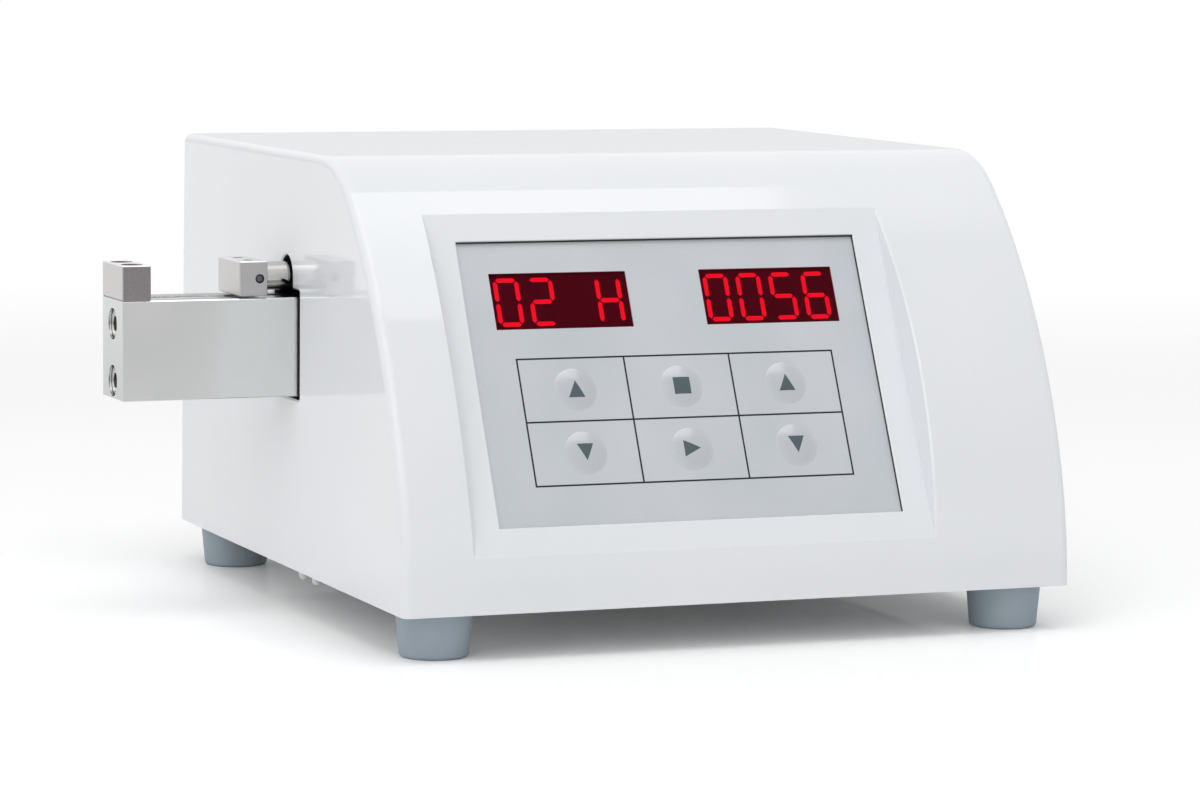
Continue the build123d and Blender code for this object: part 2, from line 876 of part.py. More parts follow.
def jaw_grub_screws():
    y0 = arm_y - arm_thickness / 2 + hole_sink
    screws = [bar_y(grub_diameter - 2 * thread_gap, y0, y0 + grub_length,
                    jaw_right - grub_inset, rod_z)]
    top = arm_high + jaw_rise + jaw_height
    for x, y in top_grub_places():
        screws.append(bar_z(top_grub_diameter - 2 * thread_gap, top - top_grub_depth,
                            top - hole_sink, x, y))
    return screws


# ---------------------------------------------------------------- ram

def push_rod():
    rod = bar_x(rod_diameter, jaw_right - rod_seat, cell_left, arm_y, rod_z)
    return rod + bar_x(rod_spigot_diameter, cell_left, cell_left + rod_spigot, arm_y, rod_z)


def load_cell():
    """An S-shaped force sensor: two slots and a hole leave a thin bending beam."""
    cell = block(cell_left, cell_right, arm_y - cell_width / 2, arm_y + cell_width / 2,
                 rod_z - cell_height / 2, rod_z + cell_height / 2)
    for x0, x1, z in (
        (cell_left, cell_right - cell_web, rod_z + cell_slot_spacing / 2),
        (cell_left + cell_web, cell_right, rod_z - cell_slot_spacing / 2),
    ):
        cell -= block(x0, x1, arm_y - cell_width, arm_y + cell_width, z - cell_slot / 2, z + cell_slot / 2)
    bore = rod_spigot_diameter + 2 * thread_gap
    cell -= bar_x(bore, cell_left, cell_left + rod_spigot, arm_y, rod_z)
    cell -= bar_x(bore, cell_right - rod_spigot, cell_right, arm_y, rod_z)
    return cell


def ram_carriage():
    """Carries the nut: the spindle runs into its hollow as the ram draws back."""
    half = carriage_width / 2
    body = block(cell_right, carriage_right, arm_y - half, arm_y + half,
                 runner_top, runner_top + carriage_height)
    body += bar_x(rod_spigot_diameter, cell_right - rod_spigot, cell_right, arm_y, rod_z)
    bore_end = carriage_right - nut_length
    hollow = spindle_diameter + 2 * spindle_room
    body -= bar_x(hollow, bore_end - ram_travel, bore_end, arm_y, rod_z)
    body -= bar_x(nut_diameter + 2 * press_gap, bore_end, carriage_right, arm_y, rod_z)
    flange = nut_flange_diameter + 2 * press_gap
    body -= bar_x(flange, carriage_right - nut_flange, carriage_right, arm_y, rod_z)
    outer = sensor_centre_y() + flag_thickness / 2
    arm = block(sensor_left(), sensor_left() + flag_length, arm_y + half, outer,
                runner_top, runner_top + flag_thickness)
    blade = block(sensor_left(), sensor_left() + flag_length, outer - flag_thickness, outer,
                  runner_top - flag_drop, runner_top)
    return body + arm + blade


def rail_runner():
    middle = cell_right + carriage_length / 2
    runner = block(middle - runner_length / 2, middle + runner_length / 2,
                   arm_y - runner_width / 2, arm_y + runner_width / 2,
                   frame_deck + runner_lift, runner_top)
    runner -= block(middle - runner_length, middle + runner_length,
                    arm_y - rail_width / 2 - runner_gap, arm_y + rail_width / 2 + runner_gap,
                    frame_deck, rail_top + runner_gap)
    return runner


def spindle_nut():
    end = carriage_right - nut_length
    nut = bar_x(nut_diameter, end, carriage_right, arm_y, rod_z)
    nut += bar_x(nut_flange_diameter, carriage_right - nut_flange, carriage_right, arm_y, rod_z)
    return nut - bar_x(spindle_diameter + 2 * running_gap, end, carriage_right, arm_y, rod_z)


# ---------------------------------------------------------------- spindle

def lead_screw():
    tip = carriage_right - nut_length - ram_travel + spindle_end_room
    return bar_x(spindle_diameter, tip, coupling_left + coupling_grip, arm_y, rod_z)


def shaft_coupling():
    body = bar_x(coupling_diameter, coupling_left, coupling_right, arm_y, rod_z)
    middle = (coupling_left + coupling_right) / 2
    body -= bar_x(spindle_diameter + 2 * press_gap, coupling_left, middle, arm_y, rod_z)
    body -= bar_x(motor_shaft_diameter + 2 * press_gap, middle, coupling_right, arm_y, rod_z)
    for x in (coupling_left + coupling_grip / 2, coupling_right - coupling_grip / 2):
        body -= block(x - coupling_slit / 2, x + coupling_slit / 2,
                      arm_y - coupling_diameter, arm_y + coupling_diameter,
                      rod_z + spindle_diameter / 2, rod_z + coupling_diameter)
    return body


def motor_shaft():
    start = coupling_right - coupling_grip
    return bar_x(motor_shaft_diameter, start, motor_face + motor_shaft_depth, arm_y, rod_z)


# ---------------------------------------------------------------- drive frame

def drive_frame():
    """A machined yoke: the guide tower, the floor and the bearing tower in one piece."""
    outline = [
        (frame_left, arm_low),
        (frame_right, arm_low),
        (frame_right, frame_top),
        (bearing_tower_left, frame_top),
        (bearing_tower_left, frame_deck),
        (tower_right, frame_deck),
        (tower_right, frame_top),
        (frame_left, frame_top),
    ]
    section = make_face(Polyline(*outline, close=True).edges())
    yoke = extrude(Plane.XZ.offset(-arm_y) * section, amount=frame_width / 2, both=True)
    yoke -= bar_x(bush_diameter + 2 * press_gap, frame_left, tower_right, arm_y, rod_z)
    bearing_left = frame_right - bearing_width
    yoke -= bar_x(bearing_diameter + 2 * press_gap, bearing_left, frame_right, arm_y, rod_z)
    yoke -= bar_x(bearing_diameter - 2 * bearing_lip, bearing_tower_left, frame_right, arm_y, rod_z)
    for z in arm_screw_heights():
        yoke -= bar_x(arm_screw_diameter + 2 * thread_gap, frame_left,
                      frame_left + arm_screw_grip, arm_y, z)
    return yoke


def guide_bush():
    """A linear bush for the push rod, with the grooves of its end rings."""
    left = frame_left + (guide_tower - bush_length) / 2
    bush = bar_x(bush_diameter, left, left + bush_length, arm_y, rod_z)
    for x in (left + bush_groove_place, left + bush_length - bush_groove_place - bush_groove):
        cut = bar_x(bush_diameter, x, x + bush_groove, arm_y, rod_z)
        core = bar_x(bush_diameter - 2 * bush_groove_depth, x, x + bush_groove, arm_y, rod_z)
        bush -= cut - core
    return bush - bar_x(rod_diameter + 2 * running_gap, left, left + bush_length, arm_y, rod_z)


def guide_rail():
    return block(tower_right, bearing_tower_left, arm_y - rail_width / 2, arm_y + rail_width / 2,
                 frame_deck, rail_top)


def screw_bearing():
    left = frame_right - bearing_width
    ring = bar_x(bearing_diameter, left, frame_right, arm_y, rod_z)
    for x in (left, frame_right - bearing_shield):
        groove = bar_x(bearing_shield_outer, x, x + bearing_shield, arm_y, rod_z)
        ring -= groove - bar_x(bearing_shield_inner, x, x + bearing_shield, arm_y, rod_z)
    return ring - bar_x(spindle_diameter + 2 * running_gap, left, frame_right, arm_y, rod_z)


def motor_hole_places():
    half = motor_hole_spacing / 2
    return [(arm_y + a * half, rod_z + b * half) for a in (-1, 1) for b in (-1, 1)]


def motor_section(x0, x1, inset):
    half = motor_size / 2 - inset
    section = block(x0, x1, arm_y - half, arm_y + half, rod_z - half, rod_z + half)
    return chamfer(section.edges().filter_by(Axis.X), motor_corner)


def stepper_motor():
    """A square stepper: two end caps and the laminations between them."""
    end = motor_face + motor_length
    body = motor_section(motor_face, motor_face + motor_cap, 0)
    body += motor_section(motor_face + motor_cap, end - motor_cap, motor_step)
    body += motor_section(end - motor_cap, end, 0)
    body += bar_x(motor_boss_diameter, motor_face - motor_boss, motor_face, arm_y, rod_z)
    bore = motor_shaft_diameter + 2 * running_gap
    deep = motor_face + motor_shaft_depth + running_gap
    return body - bar_x(bore, motor_face - motor_boss, deep, arm_y, rod_z)


def motor_pillars():
    return [bar_x(motor_pillar_diameter, frame_right, motor_face, y, z) for y, z in motor_hole_places()]


def sensor_left():
    return carriage_right - flag_length


def sensor_centre_y():
    return frame_back - sensor_width / 2


def home_sensor():
    """A slotted light sensor: the carriage's flag stands in its slot at rest."""
    middle = sensor_left() + flag_length / 2
    y = sensor_centre_y()
    body = block(middle - sensor_length / 2, middle + sensor_length / 2,
                 y - sensor_width / 2, y + sensor_width / 2, frame_deck, frame_deck + sensor_height)
    floor = runner_top - flag_drop - flag_gap
    return body - block(middle - sensor_length, middle + sensor_length,
                        y - sensor_slot / 2, y + sensor_slot / 2, floor, frame_deck + sensor_height)


def leg_centres():
    """The two legs stand under the frame's towers."""
    return {
        "frame_leg_left": frame_left + leg_length / 2,
        "frame_leg_right": frame_right - leg_length / 2,
    }


def frame_leg(x):
    """An I-section between the base plate and the drive frame."""
    half = leg_length / 2
    web = leg_web / 2
    low = base_top + leg_flange
    high = arm_low - leg_flange
    outline = [
        (x - half, base_top), (x + half, base_top), (x + half, low), (x + web, low),
        (x + web, high), (x + half, high), (x + half, arm_low), (x - half, arm_low),
        (x - half, high), (x - web, high), (x - web, low), (x - half, low),
    ]
    section = make_face(Polyline(*outline, close=True).edges())
    leg = extrude(Plane.XZ.offset(-arm_y) * section, amount=frame_width / 2, both=True)
    for sx, sy in leg_screw_places():
        leg -= bar_z(leg_screw_diameter + 2 * thread_gap, base_top, low, sx, sy)
    return leg


# ---------------------------------------------------------------- back

inlet_x = side_left + inlet_place
inlet_z = hem + inlet_rise
rocker_x = inlet_x
rocker_z = hem + rocker_rise
port_x = side_left + port_place
port_z = hem + port_rise
bezel_face = rear_face + bezel_rim
pivot_y = bezel_face - pivot_sink
pin_tail_end = rear_face + inlet_flange - inlet_body_depth - pin_tail


def upright(face, y0, y1):
    """Pull a face drawn as width and height along Y."""
    return extrude(Plane.XZ.offset(-y0) * face, amount=-(y1 - y0))


def rear_panel():
    x0 = back_opening_left - rear_panel_overlap
    x1 = back_opening_right + rear_panel_overlap
    y0 = rear_face - rear_panel_thickness
    panel = block(x0, x1, y0, rear_face, base_top, back_opening_top + rear_panel_overlap)
    panel += block(x0, x1, y0 - rear_panel_foot, rear_face, base_top, base_top + rear_panel_thickness)
    cuts = [
        (inlet_x, inlet_z, inlet_body_width, inlet_body_height),
        (rocker_x, rocker_z, bezel_body_width, bezel_body_height),
        (port_x, port_z, port_nose_width, port_nose_height),
    ]
    for x, z, width, height in cuts:
        cut = Pos(x, z) * Rectangle(width + 2 * base_gap, height + 2 * base_gap)
        panel -= upright(cut, y0 - base_gap, rear_face + base_gap)
    return panel


def inlet_outline(width, height, corner):
    """The inlet's outline: its two upper corners are cut off."""
    w = width / 2
    h = height / 2
    corners = [
        (-w, -h), (w, -h), (w, h - corner),
        (w - corner, h), (corner - w, h), (-w, h - corner),
    ]
    return make_face(Polyline(*corners, close=True).edges())


def mains_inlet():
    here = Pos(inlet_x, inlet_z)
    flange = here * RectangleRounded(inlet_flange_width, inlet_flange_height, inlet_corner)
    body = upright(flange, rear_face, rear_face + inlet_flange)
    rear = inlet_outline(inlet_body_width, inlet_body_height, inlet_hole_chamfer)
    inner_end = rear_face + inlet_flange - inlet_body_depth
    body += upright(here * rear, inner_end, rear_face)
    mouth = inlet_outline(inlet_hole_width, inlet_hole_height, inlet_hole_chamfer)
    body -= upright(here * mouth, rear_face + inlet_flange - inlet_hole_depth, rear_face + inlet_flange)
    for side in (-1, 1):
        x = inlet_x + side * inlet_screw_spacing / 2
        body -= bar_y(inlet_screw_hole, rear_face, rear_face + inlet_flange, x, inlet_z)
    for x, z in pin_places():
        body -= pin_form(x, z, thread_gap)
    return body


def pin_places():
    return [
        (inlet_x - pin_spacing / 2, inlet_z - pin_offset),
        (inlet_x + pin_spacing / 2, inlet_z - pin_offset),
        (inlet_x, inlet_z + pin_offset),
    ]


def pin_form(x, z, gap):
    floor = rear_face + inlet_flange - inlet_hole_depth
    return block(x - pin_width / 2 - gap, x + pin_width / 2 + gap, pin_tail_end, floor + pin_length,
                 z - pin_height / 2 - gap, z + pin_height / 2 + gap)


def inlet_pins():
    return [pin_form(x, z, 0.0) for x, z in pin_places()]


def rocker_bezel():
    rim = Pos(rocker_x, rocker_z) * RectangleRounded(bezel_width, bezel_height, bezel_rim)
    body = upright(rim, rear_face, bezel_face)
    rear = Pos(rocker_x, rocker_z) * Rectangle(bezel_body_width, bezel_body_height)
    body += upright(rear, bezel_face - bezel_depth, rear_face)
    hole = Pos(rocker_x, rocker_z) * Rectangle(
        rocker_width + 2 * rocker_gap, 2 * (rocker_radius + rocker_gap)
    )
    swing = rocker_radius * math.sin(math.radians(2 * rocker_tilt)) + rocker_back
    body -= upright(hole, pivot_y - swing - rocker_gap, bezel_face)
    reach = rocker_width / 2 + pivot_length + running_gap
    body -= bar_x(pivot_diameter + 2 * running_gap, rocker_x - reach, rocker_x + reach, pivot_y, rocker_z)
    return body


def power_rocker():
    """A rocker with round ends and a shallow V face, tipped to its rest side."""
    round_form = Circle(rocker_radius)
    reach = rocker_radius + rocker_gap
    lift = reach * math.tan(math.radians(rocker_tilt))
    corners = [
        (-rocker_back, -reach), (-rocker_back, reach), (rocker_rise_face + lift, reach),
        (rocker_rise_face, 0), (rocker_rise_face + lift, -reach),
    ]
    section = round_form & make_face(Polyline(*corners, close=True).edges())
    body = extrude(Plane.YZ * section, amount=rocker_width / 2, both=True)
    pin = Rot(0, 90, 0) * Cylinder(pivot_diameter / 2, rocker_width + 2 * pivot_length)
    return Pos(rocker_x, pivot_y, rocker_z) * Rot(rocker_tilt, 0, 0) * (body + pin)


def printer_port():
    """A nine-way serial socket: a flange with a D-shaped shell."""
    here = Pos(port_x, port_z)
    flange = here * RectangleRounded(port_flange_width, port_flange_height, port_flange)
    body = upright(flange, rear_face, rear_face + port_flange)
    w = port_nose_width / 2
    h = port_nose_height / 2
    low = w - port_nose_lean
    shell = make_face(Polyline((-low, -h), (low, -h), (w, h), (-w, h), close=True).edges())
    shell = fillet(shell.vertices(), port_corner)
    body += upright(here * shell, rear_face - port_body_depth, rear_face + port_nose)
    for side in (-1, 1):
        x = port_x + side * port_hole_spacing / 2
        body -= bar_y(inlet_screw_hole, rear_face, rear_face + port_flange, x, port_z)
    return body


# ---------------------------------------------------------------- electronics

board_x = side_left + main_board_side
board_y = front + main_board_front
board_z = base_top + main_board_lift


def main_board():
    return block(board_x, board_x + main_board_width, board_y, board_y + main_board_depth,
                 board_z, board_z + board_thickness)


def main_board_pillars():
    pillars = []
    for x in (board_x + pillar_inset, board_x + main_board_width - pillar_inset):
        for y in (board_y + pillar_inset, board_y + main_board_depth - pillar_inset):
            pillars.append(bar_z(pillar_diameter, base_top, board_z, x, y))
    return pillars


def board_parts():
    """Processor, motor driver under its heat sink, connectors and capacitors."""
    top = board_z + board_thickness
    x0 = board_x + processor_place
    y0 = board_y + processor_front
    parts = [block(x0, x0 + processor_size, y0, y0 + processor_size, top, top + processor_height)]
    y0 = board_y + connector_front
    for number in range(connectors):
        x0 = board_x + connector_place + number * connector_pitch
        parts.append(block(x0, x0 + connector_width, y0, y0 + connector_depth,
                           top, top + connector_height))
    x0 = board_x + sink_place
    y0 = board_y + sink_front
    sink = block(x0, x0 + sink_size, y0, y0 + sink_size, top, top + sink_foot)
    pitch = (sink_size - sink_fin) / (sink_fins - 1)
    for fin in range(sink_fins):
        x = x0 + fin * pitch
        sink += block(x, x + sink_fin, y0, y0 + sink_size, top + sink_foot, top + sink_height)
    parts.append(sink)
    y = board_y + capacitor_front
    for number in range(capacitors):
        x = board_x + capacitor_place + number * capacitor_pitch
        parts.append(bar_z(capacitor_diameter, top, top + capacitor_height, x, y))
    return parts


def power_supply():
    """A closed supply: a tray with a lid folded over it."""
    x0 = frame_right + supply_side_gap + supply_lid
    y0 = pin_tail_end - supply_back_gap - supply_lid - supply_depth
    body = block(x0, x0 + supply_width, y0, y0 + supply_depth, base_top, base_top + supply_height)
    lid = block(x0 - supply_lid, x0 + supply_width + supply_lid, y0 - supply_lid,
                y0 + supply_depth + supply_lid,
                base_top + supply_height - supply_lid_drop, base_top + supply_height + supply_lid)
    return body + lid


nodes = {
    "housing_cover": housing_cover(),
    "base_plate": base_plate(),
    "foot_screws": foot_screws(),
    "cover_screws": cover_screws(),
    "leg_screws": [leg_screw_form(x, y, 0.0) for x, y in leg_screw_places()],
    "base_rivets": base_rivets(),
    "keypad_foil": keypad_foil(),
    "keypad_plate": keypad_plate(),
    "display_board": display_board(),
    "board_pillars": board_pillars(),
    "key_switches": key_switches(),
    "measuring_arm": measuring_arm(),
    "arm_screws": arm_screws(),
    "fixed_jaw": fixed_jaw(),
    "jaw_screws": jaw_screws(),
    "moving_jaw": moving_jaw(),
    "jaw_grub_screws": jaw_grub_screws(),
    "push_rod": push_rod(),
    "load_cell": load_cell(),
    "ram_carriage": ram_carriage(),
    "rail_runner": rail_runner(),
    "spindle_nut": spindle_nut(),
    "lead_screw": lead_screw(),
    "shaft_coupling": shaft_coupling(),
    "motor_shaft": motor_shaft(),
    "drive_frame": drive_frame(),
    "guide_bush": guide_bush(),
    "guide_rail": guide_rail(),
    "screw_bearing": screw_bearing(),
    "stepper_motor": stepper_motor(),
    "motor_pillars": motor_pillars(),
    "home_sensor": home_sensor(),
    "rear_panel": rear_panel(),
    "mains_inlet": mains_inlet(),
    "inlet_pins": inlet_pins(),
    "rocker_bezel": rocker_bezel(),
    "power_rocker": power_rocker(),
    "printer_port": printer_port(),
    "main_board": main_board(),
    "main_board_pillars": main_board_pillars(),
    "board_parts": board_parts(),
    "power_supply": power_supply(),
}
for name, (x, y) in foot_places().items():
    nodes[name] = foot(x, y)
for name, x in leg_centres().items():
    nodes[name] = frame_leg(x)
for side, (x, y) in window_centres().items():
    nodes["window_" + side] = window(x, y)
    nodes["display_" + side] = display(x, y)
for name, (x, y) in key_centres().items():
    nodes[name] = key(x, y)

os.makedirs("parts", exist_ok=True)
for name, shape in nodes.items():
    solids = shape if isinstance(shape, list) else [shape]
    export_step(Compound(children=[s for piece in solids for s in piece.solids()]), f"parts/{name}.step")
print(len(nodes), "nodes written")
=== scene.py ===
import json
import math
import bmesh
import bpy
from mathutils import Matrix, Vector


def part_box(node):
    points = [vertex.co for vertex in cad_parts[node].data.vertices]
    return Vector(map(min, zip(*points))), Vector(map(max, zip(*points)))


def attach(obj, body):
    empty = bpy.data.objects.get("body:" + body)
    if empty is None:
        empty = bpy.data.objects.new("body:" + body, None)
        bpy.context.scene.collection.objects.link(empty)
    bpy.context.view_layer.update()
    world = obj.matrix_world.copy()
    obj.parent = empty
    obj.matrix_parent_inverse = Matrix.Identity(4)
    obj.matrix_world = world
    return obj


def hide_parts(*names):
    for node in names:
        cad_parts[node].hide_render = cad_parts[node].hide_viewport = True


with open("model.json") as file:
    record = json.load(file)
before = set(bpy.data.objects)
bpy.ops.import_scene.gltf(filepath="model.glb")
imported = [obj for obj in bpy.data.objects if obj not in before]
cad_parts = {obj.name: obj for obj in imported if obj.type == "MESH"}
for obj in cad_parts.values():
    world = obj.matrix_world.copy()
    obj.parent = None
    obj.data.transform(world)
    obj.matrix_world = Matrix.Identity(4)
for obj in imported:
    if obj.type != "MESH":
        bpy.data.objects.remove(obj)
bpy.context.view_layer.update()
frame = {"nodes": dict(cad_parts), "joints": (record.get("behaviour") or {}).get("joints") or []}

# Tablet hardness tester: a glossy white housing with a grey keypad panel, two red
# displays and a steel measuring arm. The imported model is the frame, everything here
# is in metres, and mm turns a size in millimetres into metres.

mm = 0.001
nodes = frame["nodes"]
joints = {joint["name"]: joint for joint in frame["joints"]}
print("frame loaded:", len(nodes), "nodes")


# small tools

def linear(hexColour):
    # sRGB hex to the linear colour that the renderer works in
    parts = [int(hexColour[i:i + 2], 16) / 255 for i in (1, 3, 5)]
    levels = [p / 12.92 if p <= 0.04045 else ((p + 0.055) / 1.055) ** 2.4 for p in parts]
    return tuple(levels) + (1.0,)


def addNode(tree, kind, settings=None, links=None):
    # kind is a node's name after its prefix, settings are sockets, by name or number, or
    # properties, and links give a socket its source
    item = tree.nodes.new("ShaderNode" + kind)
    for name, value in (settings or {}).items():
        if isinstance(name, int) or name in item.inputs:
            item.inputs[name].default_value = value
        else:
            setattr(item, name, value)
    for name, source in (links or {}).items():
        tree.links.new(source, item.inputs[name])
    return item


def emptyTree(owner):
    # the cleared node tree of a material or a world
    owner.use_nodes = True
    owner.node_tree.nodes.clear()
    return owner.node_tree


def newMaterial(name, shader):
    # a material with one Principled shader, whose fixed values are on its own sockets
    material = bpy.data.materials.new(name)
    tree = emptyTree(material)
    principled = addNode(tree, "BsdfPrincipled", shader)
    addNode(tree, "OutputMaterial", links={"Surface": principled.outputs["BSDF"]})
    return material, tree, principled


def objectPoint(tree, stretch=(1, 1, 1)):
    # a point on the piece in metres, stretched where a pattern runs one way
    place = addNode(tree, "TexCoord")
    return addNode(tree, "Mapping", {"Scale": stretch},
                   {"Vector": place.outputs["Object"]}).outputs["Vector"]


def newObject(name, shape, material):
    # a finished bmesh becomes an object at the origin
    mesh = bpy.data.meshes.new(name)
    shape.to_mesh(mesh)
    shape.free()
    mesh.materials.append(material)
    thing = bpy.data.objects.new(name, mesh)
    bpy.context.scene.collection.objects.link(thing)
    return thing


def newPiece(name, shape, material, body, smoothAngle=None, place=None):
    # an object that rides on a body, its bmesh moved to its place and its normals set outwards
    if place is not None:
        bmesh.ops.transform(shape, matrix=place, verts=shape.verts)
    bmesh.ops.remove_doubles(shape, verts=shape.verts, dist=0.0005 * mm)
    bmesh.ops.recalc_face_normals(shape, faces=shape.faces)
    piece = newObject(name, shape, material)
    if smoothAngle is not None:
        piece.data.shade_smooth()
        piece.data.set_sharp_from_angle(angle=math.radians(smoothAngle))
    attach(piece, body)
    return piece


def pullUp(shape, faces, rise):
    # raise flat faces into a closed slab
    raised = bmesh.ops.extrude_face_region(shape, geom=faces)
    tops = [item for item in raised["geom"] if isinstance(item, bmesh.types.BMVert)]
    bmesh.ops.translate(shape, vec=(0, 0, rise), verts=tops)


def flatSlab(shape, outline, low, high):
    # a flat outline of x and y, closed from low to high
    face = shape.faces.new([shape.verts.new((x, y, low)) for x, y in outline])
    pullUp(shape, [face], high - low)


def rectangle(left, right, low, high):
    return [(left, low), (right, low), (right, high), (left, high)]


def turned(shape, profile, centre=(0, 0, 0), steps=48):
    # a profile of radius and height, spun about its own upright axis
    points = [shape.verts.new((centre[0] + r, centre[1], centre[2] + z)) for r, z in profile]
    edges = [shape.edges.new(pair) for pair in zip(points, points[1:])]
    bmesh.ops.spin(shape, geom=points + edges, cent=centre, axis=(0, 0, 1), dvec=(0, 0, 0),
                   angle=math.tau, steps=steps, use_merge=True)


def ringProfile(inner, outer, low, high):
    # the closed section of a flat ring
    return [(inner, low), (outer, low), (outer, high), (inner, high), (inner, low)]


def boxCentre(name):
    low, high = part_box(name)
    return (low + high) / 2


def mergedCopy(node):
    # a CAD node's loose triangles, joined
    shape = bmesh.new()
    shape.from_mesh(nodes[node].data)
    bmesh.ops.remove_doubles(shape, verts=shape.verts, dist=0.001 * mm)
    return shape


# materials

def mottled(name, shader, tone, rough=None, relief=None, stretch=(1, 1, 1)):
    # tone is a noise's size and detail and the two colours it runs between, rough a range of
    # roughness over the same noise, and relief the size, detail, strength and depth of bumps
    material, tree, principled = newMaterial(name, shader)
    point = objectPoint(tree, stretch)
    noise = addNode(tree, "TexNoise",
                    {"Scale": 1 / tone["size"], "Detail": tone["detail"]}, {"Vector": point})
    colour = addNode(tree, "Mix",
                     {"data_type": "RGBA", 6: linear(tone["low"]), 7: linear(tone["high"])},
                     {"Factor": noise.outputs["Fac"]})
    tree.links.new(colour.outputs[2], principled.inputs["Base Color"])
    if rough:
        spread = addNode(tree, "MapRange", {"To Min": rough[0], "To Max": rough[1]},
                         {"Value": noise.outputs["Fac"]})
        tree.links.new(spread.outputs["Result"], principled.inputs["Roughness"])
    if relief:
        ripple = addNode(tree, "TexNoise",
                         {"Scale": 1 / relief["size"], "Detail": relief["detail"]},
                         {"Vector": point})
        bump = addNode(tree, "Bump",
                       {"Strength": relief["strength"], "Distance": relief["depth"]},
                       {"Height": ripple.outputs["Fac"]})
        tree.links.new(bump.outputs["Normal"], principled.inputs["Normal"])
    return material


def makeFoil():
    # Printed polyester foil, satin: a cool silver grey with a grain finer than the eye
    # separates, drawn a little coarser so that it shows
    values = {"grain": 0.35 * mm, "cloud": 34 * mm, "grainShare": 0.6}
    material, tree, shader = newMaterial("satinPolyesterFoil", {
        "Roughness": 0.36, "IOR": 1.5, "Specular IOR Level": 0.4,
    })
    point = objectPoint(tree)
    grain = addNode(tree, "TexNoise", {"Scale": 1 / values["grain"], "Detail": 2.0},
                    {"Vector": point})
    cloud = addNode(tree, "TexNoise", {"Scale": 1 / values["cloud"], "Detail": 1.0},
                    {"Vector": point})
    both = addNode(tree, "Math", {"operation": "MULTIPLY_ADD", 1: values["grainShare"]},
                   {0: grain.outputs["Fac"], 2: cloud.outputs["Fac"]})
    tint = addNode(tree, "MapRange", {"From Min": 0.5, "From Max": 1.1},
                   {"Value": both.outputs["Value"]})
    colour = addNode(tree, "Mix",
                     {"data_type": "RGBA", 6: linear("#C3C8CD"), 7: linear("#CDD1D5")},
                     {"Factor": tint.outputs["Result"]})
    tree.links.new(colour.outputs[2], shader.inputs["Base Color"])
    bump = addNode(tree, "Bump", {"Strength": 0.3, "Distance": 0.01 * mm},
                   {"Height": grain.outputs["Fac"]})
    tree.links.new(bump.outputs["Normal"], shader.inputs["Normal"])
    return material


def makeRedFilter():
    # Cast acrylic colour filter: clear deep red, so that only the lit segments show, with an
    # anti-glare face that keeps the room's white out of it
    values = {"wave": 9 * mm}
    material, tree, shader = newMaterial("castRedAcrylic", {
        "Base Color": linear("#ED7491"), "Roughness": 0.03, "IOR": 1.49,
        "Transmission Weight": 1.0, "Specular IOR Level": 0.2, "Specular Tint": linear("#8A1A28"),
    })
    wave = addNode(tree, "TexNoise", {"Scale": 1 / values["wave"], "Detail": 0.0},
                   {"Vector": objectPoint(tree)})
    bump = addNode(tree, "Bump", {"Strength": 0.5, "Distance": 0.003 * mm},
                   {"Height": wave.outputs["Fac"]})
    tree.links.new(bump.outputs["Normal"], shader.inputs["Normal"])
    return material


def makeLitSegment():
    # Lit segments: milky epoxy that glows a saturated red, a little unevenly
    values = {"unevenness": 5 * mm}
    material, tree, shader = newMaterial("glowingEpoxySegment", {
        "Base Color": linear("#C01020"), "Roughness": 0.4, "IOR": 1.54,
        "Emission Color": linear("#FF3450"),
    })
    glow = addNode(tree, "TexNoise", {"Scale": 1 / values["unevenness"], "Detail": 0.0},
                   {"Vector": objectPoint(tree)})
    strength = addNode(tree, "MapRange", {"To Min": 0.72, "To Max": 0.86},
                       {"Value": glow.outputs["Fac"]})
    tree.links.new(strength.outputs["Result"], shader.inputs["Emission Strength"])
    return material


